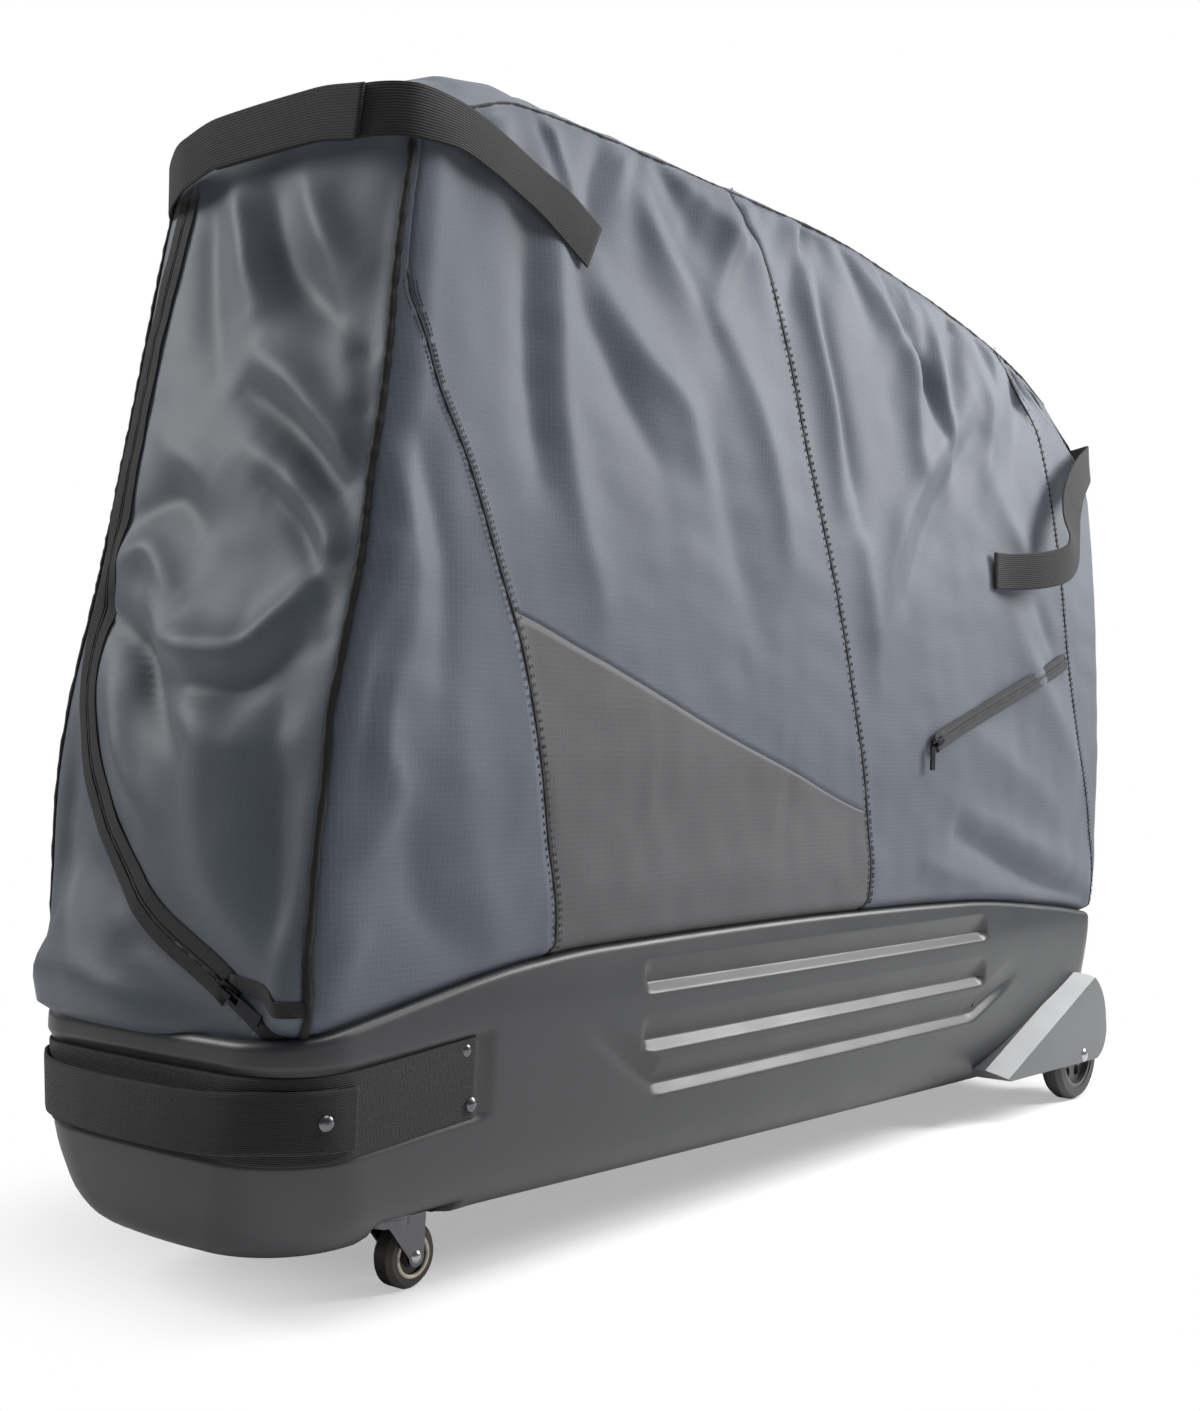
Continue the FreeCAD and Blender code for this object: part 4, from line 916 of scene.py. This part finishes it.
def louvreDepth(x, z):
    total = np.zeros_like(x)
    depth, ledge = tub["depth"], tub["ledge"]
    for low, high, front, rear in tub["louvres"]:
        inside = ease(x, front - .002, front + .005) * (1 - ease(x, rear - .005, rear + .002))
        total = np.maximum(total, depth * inside * louvreFall(z - low, ledge, high - low - ledge))
    for (x0, z0), (x1, z1) in tub["legs"]:
        e = np.array([x1 - x0, z1 - z0])
        size = np.hypot(*e)
        side = np.sign(e[0])
        along = ((x - x0) * e[0] + (z - z0) * e[1]) / (size * size)
        over = ((z - z0) * e[0] - (x - x0) * e[1]) / size * side
        fade = ease(along, -.10, .02) * (1 - ease(along, .15, 1.05))
        total = np.maximum(total, depth * .9 * fade * louvreFall(over, ledge, .020))
    return total


def tubGrid():
    turn, rings = tub["turn"], []
    for z in (.044, .0445, .046, .048, .051, .0555, .060, .066, .074, .082, .090, turn):
        spots, tilt = tubOutline(z)
        rings.append(np.column_stack([spots, z - spots[:, 0] * math.sin(tub["slope"] * tilt)]))
    column = np.arange(len(spots))
    heights = np.linspace(turn, tub["highest"], 24)
    stack = np.stack([tubOutline(q)[0] for q in heights])
    for t in np.linspace(0, 1, 108)[1:]:
        z = np.full(len(column), turn + t * .13)
        for _ in range(3):
            spots = tubOutline(float(np.mean(z)))[0]
            z = turn + t * (levelRim(spots[:, 0]) - tub["lip"] + tub["overRim"] - turn)
        index = np.clip(np.searchsorted(heights, z) - 1, 0, len(heights) - 2)
        mix = ((z - heights[index]) / (heights[1] - heights[0]))[:, None]
        spots = stack[index, column] * (1 - mix) + stack[index + 1, column] * mix
        drop = spots[:, 0] * np.sin(tub["slope"] * tubLines[5](z)) * (1 - t)
        rings.append(np.column_stack([spots, z - drop]))
    grid = np.stack(rings)
    normal = gridNormals(np.concatenate([grid[:, -1:], grid, grid[:, :1]], axis=1))[:, 1:-1]
    if normal[40, 100, 1] > 0:
        normal = -normal
    x, y, z = grid[..., 0], grid[..., 1], grid[..., 2]
    depth = louvreDepth(x, z) * ease(np.abs(y), .140, .150)  # only on the flat sides
    lowZ, highZ, end, deep = tub["channel"]
    inside = ease(z, lowZ - .004, lowZ + .004) * (1 - ease(z, highZ - .004, highZ + .004))
    depth = depth + deep * inside * (1 - ease(x, end - .006, end + .012))
    grid = grid - normal * depth[..., None]
    lip = tub["lip"]
    last, lastOut = grid[-1], normal[-1] * (1, 1, 0)
    for a in (15, 30, 45, 60, 75, 90):
        a = math.radians(a)
        ring = last - lastOut * lip * (1 - math.cos(a)) + np.array([0, 0, lip * math.sin(a)])
        grid = np.concatenate([grid, ring[None]])
    floorRings = []
    first = grid[0]
    spine = np.column_stack([np.clip(first[:, 0], -.48, .48), 0 * first[:, 1], first[:, 2]])
    for t in (1, .9, .78, .66, .54, .42, .30, .2, .1):
        ring = first * (1 - t) + spine * t
        ring[:, 2] = tub["floor"] - ring[:, 0] * math.sin(tub["slope"])
        floorRings.append(ring)
    grid = np.concatenate([np.stack(floorRings), grid])
    grid[..., 2] += frontDip(grid[..., 0])
    px, py, hx, hy, top = tub["pocket"]
    inside = 1 - ease(np.abs(grid[..., 0] - px), hx - .001, hx + .005)
    inside = inside * (1 - ease(np.abs(np.abs(grid[..., 1]) - py), hy - .001, hy + .005))
    grid[..., 2] = np.maximum(grid[..., 2], grid[..., 2] * (1 - inside) + top * inside)
    return np.concatenate([grid, grid[:, :1]], axis=1)


tubMesh = tubGrid()
cells = cellCentre(tubMesh)
wx, wz, wr, wy = tub["well"]
inWell = (np.abs(cells[..., 1]) > wy) & (np.abs(cells[..., 0] - wx) < wr) & (
    (cells[..., 2] < wz) | (np.hypot(cells[..., 0] - wx, cells[..., 2] - wz) < wr))
tubNormal = gridNormals(tubMesh, True)
if tubNormal[50, 100, 1] > 0:
    tubMesh, inWell = tubMesh[:, ::-1], inWell[:, ::-1]
    tubNormal = gridNormals(tubMesh, True)
tubItem, _ = shell("tubShell", tubMesh, ~inWell, tub["wall"], None, tubNormal, True)
dress(tubItem, "tub_plastic", "tub_plastic", "tub")
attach(tubItem, "root")


liner = {"gap": .001, "lowest": .036, "rings": (.152, .140, .130), "thick": .002}


def wellLiner(name, side):
    angles = np.radians(np.linspace(0, 180, 40))
    r = wr + liner["gap"]
    arch = [(wx + wr, 0)] + [(wx + r * math.cos(a), wz + r * math.sin(a)) for a in angles] + [(wx - wr, 0)]
    arch = [(x, max(z, liner["lowest"])) for x, z in arch]
    rings = [[(x, side * y, z) for x, z in arch] for y in (*liner["rings"], wy)]
    middle = [(wx + (x - wx) * .02, side * wy, wz + (z - wz) * .02) for x, z in arch]
    grid = np.array(rings + [middle])
    item, _ = shell(name, grid, np.ones((len(grid) - 1, len(arch) - 1), bool), liner["thick"])
    dress(item, "tub_plastic", "tub_plastic")
    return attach(item, "root")


wellLiner("nearWellLiner", -1)
wellLiner("farWellLiner", 1)
print("stage: tub")

# Seams, as bound edges with rows of thread beside them

def wallSeam(name, path, out, radius, body, sunk=0.0, rows=()):
    parts = [dress(tube(name, path - out * sunk, radius, 8, .25), "seam", "webbing")]
    for count, shift in enumerate(rows):
        parts.append(dress(stitches(name + "Thread" + str(count), path, out, shift), "thread", "webbing"))
    for part in parts:
        carry(part, body)


nearOut, farOut = facing(gridNormals(nearGrid), 1, -1), facing(gridNormals(farGrid), 1, 1)
topOut, frontOut = facing(gridNormals(topGrid), 2, 1), facing(gridNormals(frontGridMesh), 0, -1)
upwards = np.array([0, 0, 1.0])
seam = {"radius": .0013, "sunk": .0004, "threads": (.0035, -.0035), "thirdThread": .006,
        "nearCorner": .0034, "farCorner": .0022, "toTop": 9.0}
threeThreads = seam["threads"] + (seam["thirdThread"],)
wallSeam("nearCornerSeam", nearGrid[:, 0], nearOut[:, 0], seam["nearCorner"], "both")
for name, grid, out, body, col, top, rows in (  # the column of each seam and the height where it ends
        ("gussetSeam", nearGrid, nearOut, "both", gussetCol, .742, threeThreads),
        ("centreSeam", nearGrid, nearOut, "both", centreCol, seam["toTop"], threeThreads),
        ("rearSeam", nearGrid, nearOut, "both", rearCol, seam["toTop"], seam["threads"]),
        ("farGussetSeam", farGrid, farOut, "root", gussetCol, .712, seam["threads"]),
        ("farCentreSeam", farGrid, farOut, "root", centreCol, seam["toTop"], seam["threads"]),
        ("farRearSeam", farGrid, farOut, "root", rearCol, seam["toTop"], seam["threads"])):
    use = grid[:, col, 2] < top
    wallSeam(name, grid[use, col], out[use, col], seam["radius"], body, seam["sunk"], rows)
wallSeam("topNearSeam", nearGrid[-1], unit(nearOut[-1] + upwards), seam["radius"], "cover", 2 * seam["sunk"])
wallSeam("rearTopSeam", topGrid[rearCol], topOut[rearCol], seam["radius"], "cover", seam["sunk"])
wallSeam("farCornerSeam", farGrid[:, 0], farOut[:, 0], seam["farCorner"], "root")
print("stage: seams")


def onGrid(grid, out, key, u, z):
    # The points of a wall or front grid at chart places (u, z), with the cloth's direction there
    both = np.concatenate([grid, out], axis=2)
    found = []
    for a, b in zip(u, z):
        rows = []
        for line in both:
            line = line[::-1] if line[0, key] > line[-1, key] else line
            rows.append([np.interp(a, line[:, key], line[:, k]) for k in range(6)])
        rows = np.array(rows)
        found.append([np.interp(b, rows[:, 2], rows[:, k]) for k in range(6)])
    found = np.array(found)
    return found[:, :3], unit(found[:, 3:])


# Main zip: two tapes and the coil along the front, the same down the rear and along the far top edge
zipLook = {"tape": .011, "thick": .0011, "coil": .0013, "apart": .0075, "lift": .0006,
           "front": (.232, .845), "rear": (.222, .8475),
           "endMoving": [(-.083, .2385), (-.110, .2350), (-.130, .2310), (-.1405, .2270), (-.1432, .2250)],
           "endFixed": [(-.083, .2285), (-.100, .2190), (-.116, .2090), (-.130, .1990)]}


def zipTape(name, path, out, body, *nodes):
    item = strip(name, path + out * zipLook["lift"], out, zipLook["tape"], zipLook["thick"])
    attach(dress(item, "zip_tape", "zip_tape", *nodes), body)


def zipCoil(name, path):
    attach(dress(tube(name, path, zipLook["coil"], 8, .35), "zip_tape", "zip_tape"), "root")


def tapePair(name, path, out, nodes):
    side = unit(np.cross(unit(np.gradient(path, axis=0)), out))
    toFar = side * np.sign(side[len(path) // 2, 1]) * zipLook["apart"]
    zipTape(name + "Moving", path - toFar, out, "cover", *nodes[:1])
    zipTape(name + "Fixed", path + toFar, out, "root", *nodes[1:])


heights = np.linspace(*zipLook["front"], 120)
zipPath, zipOut = onGrid(frontGridMesh, frontOut, 1, mainZip(heights), heights)
tapePair("mainZipTape", zipPath, zipOut, ["main_zip_moving", "main_zip_fixed"])
for name, key, body in (("mainZipEndMoving", "endMoving", "cover"), ("mainZipEndFixed", "endFixed", "root")):
    spots = curveThrough(zipLook[key], 16)
    path, out = onGrid(frontGridMesh, frontOut, 1, spots[:, 0], spots[:, 1])
    if key == "endMoving":  # runs out to the corner seam
        corner = np.argmin(np.abs(frontGridMesh[:, 0, 2] - spots[-1, 1]))
        path = curveThrough(np.concatenate([path[:10:3], frontGridMesh[corner, [3, 1, 0]]]), 16)
    zipTape(name, path, out, body)
zipCoil("mainZipCoil", (zipPath + zipOut * .0005)[heights > .236])
rearHeights = np.linspace(*zipLook["rear"], 112)
rearColumn = topGrid[rearCol:][::-1]
rearOut = facing(gridNormals(topGrid[rearCol:]), 0, 1)[::-1]
rearPath, rearOut = onGrid(rearColumn, rearOut, 1, rearZip(rearHeights), rearHeights)
tapePair("rearZipTape", rearPath, rearOut, [])
zipCoil("rearZipCoil", rearPath + rearOut * .0016)
reach = slice(4, rearCol - 2)
zipTape("topZipTapeMoving", topGrid[reach, -4], topOut[reach, -4], "cover")
zipTape("topZipTapeFixed", farGrid[-2, reach], farOut[-2, reach], "root")
zipCoil("topZipCoil", (farGrid[-1] + unit(farOut[-1] + upwards) * .001)[reach])

# Pocket zip on the near rear panel
pocket = {"start": (.203, .413), "end": (.516, .512), "tape": .017, "coil": .0015, "edge": .0012}
share = np.linspace(-.015, .985, 60)
pocketX, pocketZ = (a + share * (b - a) for a, b in zip(pocket["start"], pocket["end"]))
pocketPath, pocketOut = onGrid(nearGrid, nearOut, 0, pocketX, pocketZ)
pocketPath[:, 1] = np.polyval(np.polyfit(share, pocketPath[:, 1], 3), share) - .0015
steadied = [np.polyval(np.polyfit(share, pocketOut[:, k], 2), share) for k in range(3)]
pocketOut = unit(np.stack(steadied, axis=1))
item = strip("pocketZipTape", pocketPath + pocketOut * .0005, pocketOut, pocket["tape"], .0012)
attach(dress(item, "pocket_tape", "zip_tape", "pocket_zip"), "cover")
side = unit(np.cross(unit(np.gradient(pocketPath, axis=0)), pocketOut)) * pocket["tape"] / 2
border = np.concatenate([pocketPath + side, (pocketPath - side)[::-1], (pocketPath + side)[:1]])
edge = tube("pocketZipEdge", border + pocketOut[0] * .0012, pocket["edge"], 6)
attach(dress(edge, "seam", "zip_tape"), "cover")
coil = tube("pocketZipCoil", pocketPath + pocketOut * .0022, pocket["coil"], 8, .35)
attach(dress(coil, "zip_tape", "zip_tape"), "cover")
print("stage: zips")

# Carry straps
strap = {  # stations: place in mm and which way the band faces in degrees
    "width": .040, "thick": .0022,
    "frontNear": [(-331, -152.5, 798, -90), (-382, -152.0, 823, -91), (-433, -151.0, 844, -93),
                  (-480, -150.0, 856, -100), (-519, -141, 858, -135), (-535, -105, 859, -180),
                  (-535, -60, 866, -180), (-535, 60, 869, -180)],
    "frontFar": [(-331, -164.0, 798, -90), (-382, -163.5, 823, -91), (-433, -162.5, 844, -93),
                 (-475, -158.0, 850, -100), (-508, -148, 852, -132), (-527, -122, 856, -158),
                 (-537, -92, 862, -178), (-538, -50, 869, -180), (-538, 60, 866, -180),
                 (-538, 112, 858, -180)],
    "rearNear": [(335, -167, 600, -92), (352, -170, 600, -100), (390, -184, 603, -106),
                 (430, -196, 610, -100), (462, -199, 622, -84), (481, -193, 644, -84),
                 (490, -184, 672, -96), (512, -178, 704, -104), (552, -170, 733, -102),
                 (598, -158, 752, -84), (632, -136, 760, -44), (646, -96, 758, 0), (646, 50, 752, 0)],
}
strap["rearFar"] = [(x + (3 if x > 600 else 0), y - (12 if y < -140 else 5 if y < 0 else 0), z, turn)
                    for x, y, z, turn in strap["rearNear"]]  # lies outside the other half on the rear


def strapPath(stations, count):
    spots = np.array([s[:3] for s in stations]) / 1000
    turns = np.radians([s[3] for s in stations])
    path = curveThrough(spots, count)
    length = lengthAlong(spots)
    angle = smoothLine(list(zip(length, turns)))(np.linspace(0, length[-1], count))
    return path, np.stack([np.cos(angle), np.sin(angle), 0 * angle], axis=1)


def clearOfCloth(path, reach=.021):
    # Lifts the near side of a strap off the folds beneath it
    spots = nearGrid.reshape(-1, 3)
    for k in range(len(path)):
        close = np.hypot(spots[:, 0] - path[k, 0], spots[:, 2] - path[k, 2]) < reach
        if close.any() and path[k, 1] < 0:
            path[k, 1] = min(path[k, 1], spots[close, 1].min() - .0006)
    padded = np.pad(path[:, 1], 4, mode="edge")
    path[:, 1] = np.convolve(padded, np.ones(9) / 9, mode="valid")
    return path


for end in ("front", "rear"):
    path, out = strapPath(strap[end + "Near"], 90)
    path = clearOfCloth(path)
    if end == "front":  # leans back where it turns round the corner
        lean = ease(path[:, 0], -.36, -.40) * ease(path[:, 0], -.515, -.47)
        out = unit(out + .18 * upwards * lean[:, None])
    item = strip(end + "StrapNear", path, out, strap["width"], strap["thick"])
    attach(dress(item, "webbing", "webbing", end + "_strap_near"), "cover")
    path, out = strapPath(strap[end + "Far"], 90)
    item = strip(end + "StrapFar", path * (1, -1, 1), out * (1, -1, 1), strap["width"], strap["thick"])
    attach(dress(item, "webbing", "webbing", end + "_strap_far"), "root")

# Pull handle: webbing in the channel and the grip strap over it
pull = {"height": .162, "width": .060, "thick": .0024, "sunk": .0036, "end": -.449,
        "grip": .043, "gripThick": .0036,  # then half of the grip's route, in mm and degrees
        "bend": (-566.5, -88.5, 67.6, 148.5), "turns": (-93, -104, -115, -126, -136, -146),
        "front": [(-636, -103, 147, -156), (-643, -75, 146, -166), (-648, -38, 146, -174),
                  (-649.4, 0, 146, -180)]}
spots, _ = tubOutline(pull["height"])
ahead = np.roll(spots, len(spots) // 4, axis=0)  # starts on the far side, so that the front is in one run
ahead = ahead[ahead[:, 0] < pull["end"]]
path = np.column_stack([ahead, pull["height"] + frontDip(ahead[:, 0]) * 1.15])
flatOut = unit(np.cross(np.gradient(path, axis=0), upwards) * (1, 1, 0))
if flatOut[len(path) // 2, 0] > 0:
    flatOut = -flatOut
item = strip("pullWebbing", path - flatOut * pull["sunk"], flatOut, pull["width"], pull["thick"],
             upwards + flatOut * .05)
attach(dress(item, "pull_webbing", "webbing", "pull_webbing"), "root")
x, y, r, z = pull["bend"]
halfGrip = [(x + r * math.cos(math.radians(turn)), y + r * math.sin(math.radians(turn)), z, turn)
            for turn in pull["turns"]]
halfGrip += pull["front"]
path, out = strapPath(halfGrip + [(x, -y, z, -360 - turn) for x, y, z, turn in halfGrip[-2::-1]], 150)
item = strip("pullGrip", path, out, pull["grip"], pull["gripThick"], upwards + out * .04)
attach(dress(item, "grip_webbing", "webbing", "pull_grip"), "root")
print("stage: straps")

# Side pads and the pocket's pouch, inside

def pad(name, body, nodeName, slotName):
    low, high = (np.array(v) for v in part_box(nodeName))
    cols, rows = 48, 30
    uu, ww = np.meshgrid(np.linspace(0, 1, cols), np.linspace(0, 1, rows))
    edge = (1 - (2 * uu - 1) ** 10) * (1 - (2 * ww - 1) ** 10)
    quilt = .75 + .25 * np.abs(np.sin(uu * math.pi * 6) * np.sin(ww * math.pi * 4)) ** .4
    half, middle = (high[1] - low[1]) / 2, (high[1] + low[1]) / 2
    swell = half * (.25 + .75 * edge ** .35 * quilt)
    x = low[0] + uu * (high[0] - low[0])
    z = low[2] + ww * (high[2] - low[2])
    sides = [np.stack([x, middle + sign * swell, z], axis=2).reshape(-1, 3) for sign in (-1, 1)]
    n = rows * cols
    index = np.arange(n).reshape(rows, cols)
    faces = []
    corners = (index[:-1, :-1], index[:-1, 1:], index[1:, 1:], index[1:, :-1])
    for a, b, c, d in zip(*(part.ravel() for part in corners)):
        faces += [(a, b, c, d), (n + d, n + c, n + b, n + a)]
    border = [*index[0], *index[1:, -1], *index[-1, -2::-1], *index[-2:0:-1, 0]]
    for a, b in zip(border, border[1:] + border[:1]):
        faces.append((b, a, n + a, n + b))
    chart = np.stack([x, z], axis=2).reshape(-1, 2)
    item = addMesh(name, np.concatenate(sides), faces, np.concatenate([chart, chart]))
    dress(item, "foam", slotName, nodeName)
    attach(item, body)


for name, body, nodeName, slotName, fill in (("nearPad", "cover", "near_pad", "foam", .7),
                                             ("farPad", "root", "far_pad", "foam", .7),
                                             ("pocketPouch", "cover", "pocket_pouch", "cloth", .2)):
    pad(name, body, nodeName, slotName)
print("stage: pads")

# The frame's own hard parts keep their shape, with softened edges
caster = {"ring": .62, "thick": .0016, "sunk": .0006}
hardLooks = {
    "cowl_plastic": ["near_wheel_cowl", "far_wheel_cowl"],
    "wheel_rubber": ["near_rear_tyre", "far_rear_tyre"],
    "hub_plastic": ["near_rear_hub", "far_rear_hub"],
    "caster_metal": ["near_caster_plate", "far_caster_plate", "near_caster_fork", "far_caster_fork"],
    "caster_rubber": ["near_caster_wheel", "far_caster_wheel"],
    "axle_metal": ["near_caster_axle", "far_caster_axle", "rear_axles"],
    "rail_metal": ["rail"],
    "stand_plastic": ["rail_feet", "fork_mount", "cradle", "hoop_sockets"],
    "knob_plastic": ["fork_mount_knob", "cradle_knob"],
    "pad_rubber": ["cradle_pad"],
    "hoop_rod": ["front_hoop", "rear_hoop"],
    "zip_metal": ["main_slider", "main_pull", "pocket_slider", "pocket_pull"],
    "rivet_metal": ["pull_rivets", "caster_rivets"],
}
soften = {"near_wheel_cowl": .004, "far_wheel_cowl": .004, "near_caster_plate": .001,
          "far_caster_plate": .001, "near_caster_fork": .0012, "far_caster_fork": .0012,
          "fork_mount": .002, "cradle": .002, "rail": .001, "rail_feet": .002}
for look, names in hardLooks.items():
    for name in names:
        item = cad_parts[name]
        item.data.materials.clear()
        item.data.materials.append(looks[look])
        if name in soften:
            bevel = item.modifiers.new("soften", "BEVEL")
            bevel.width = soften[name]
            bevel.segments = 3
            bevel.limit_method = "ANGLE"
            bevel.angle_limit = math.radians(38)
            bevel.harden_normals = True
for name in ("near_caster", "far_caster"):
    low, high = (np.array(v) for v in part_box(name + "_wheel"))
    middle, radius = (low + high) / 2, (high[2] - low[2]) / 2
    turn = np.linspace(0, 2 * math.pi, 49)
    away = (high[1] - low[1]) / 2 - caster["sunk"]
    for label, side in (("RingNear", -1), ("RingFar", 1)):
        path = middle + np.column_stack([caster["ring"] * radius * np.cos(turn), np.full(49, side * away),
                                         caster["ring"] * radius * np.sin(turn)])
        ring = tube(name + label, path, caster["thick"], 8)
        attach(dress(ring, "caster_ring", "caster_rubber"), name + "_roller")
print("stage: hard parts")
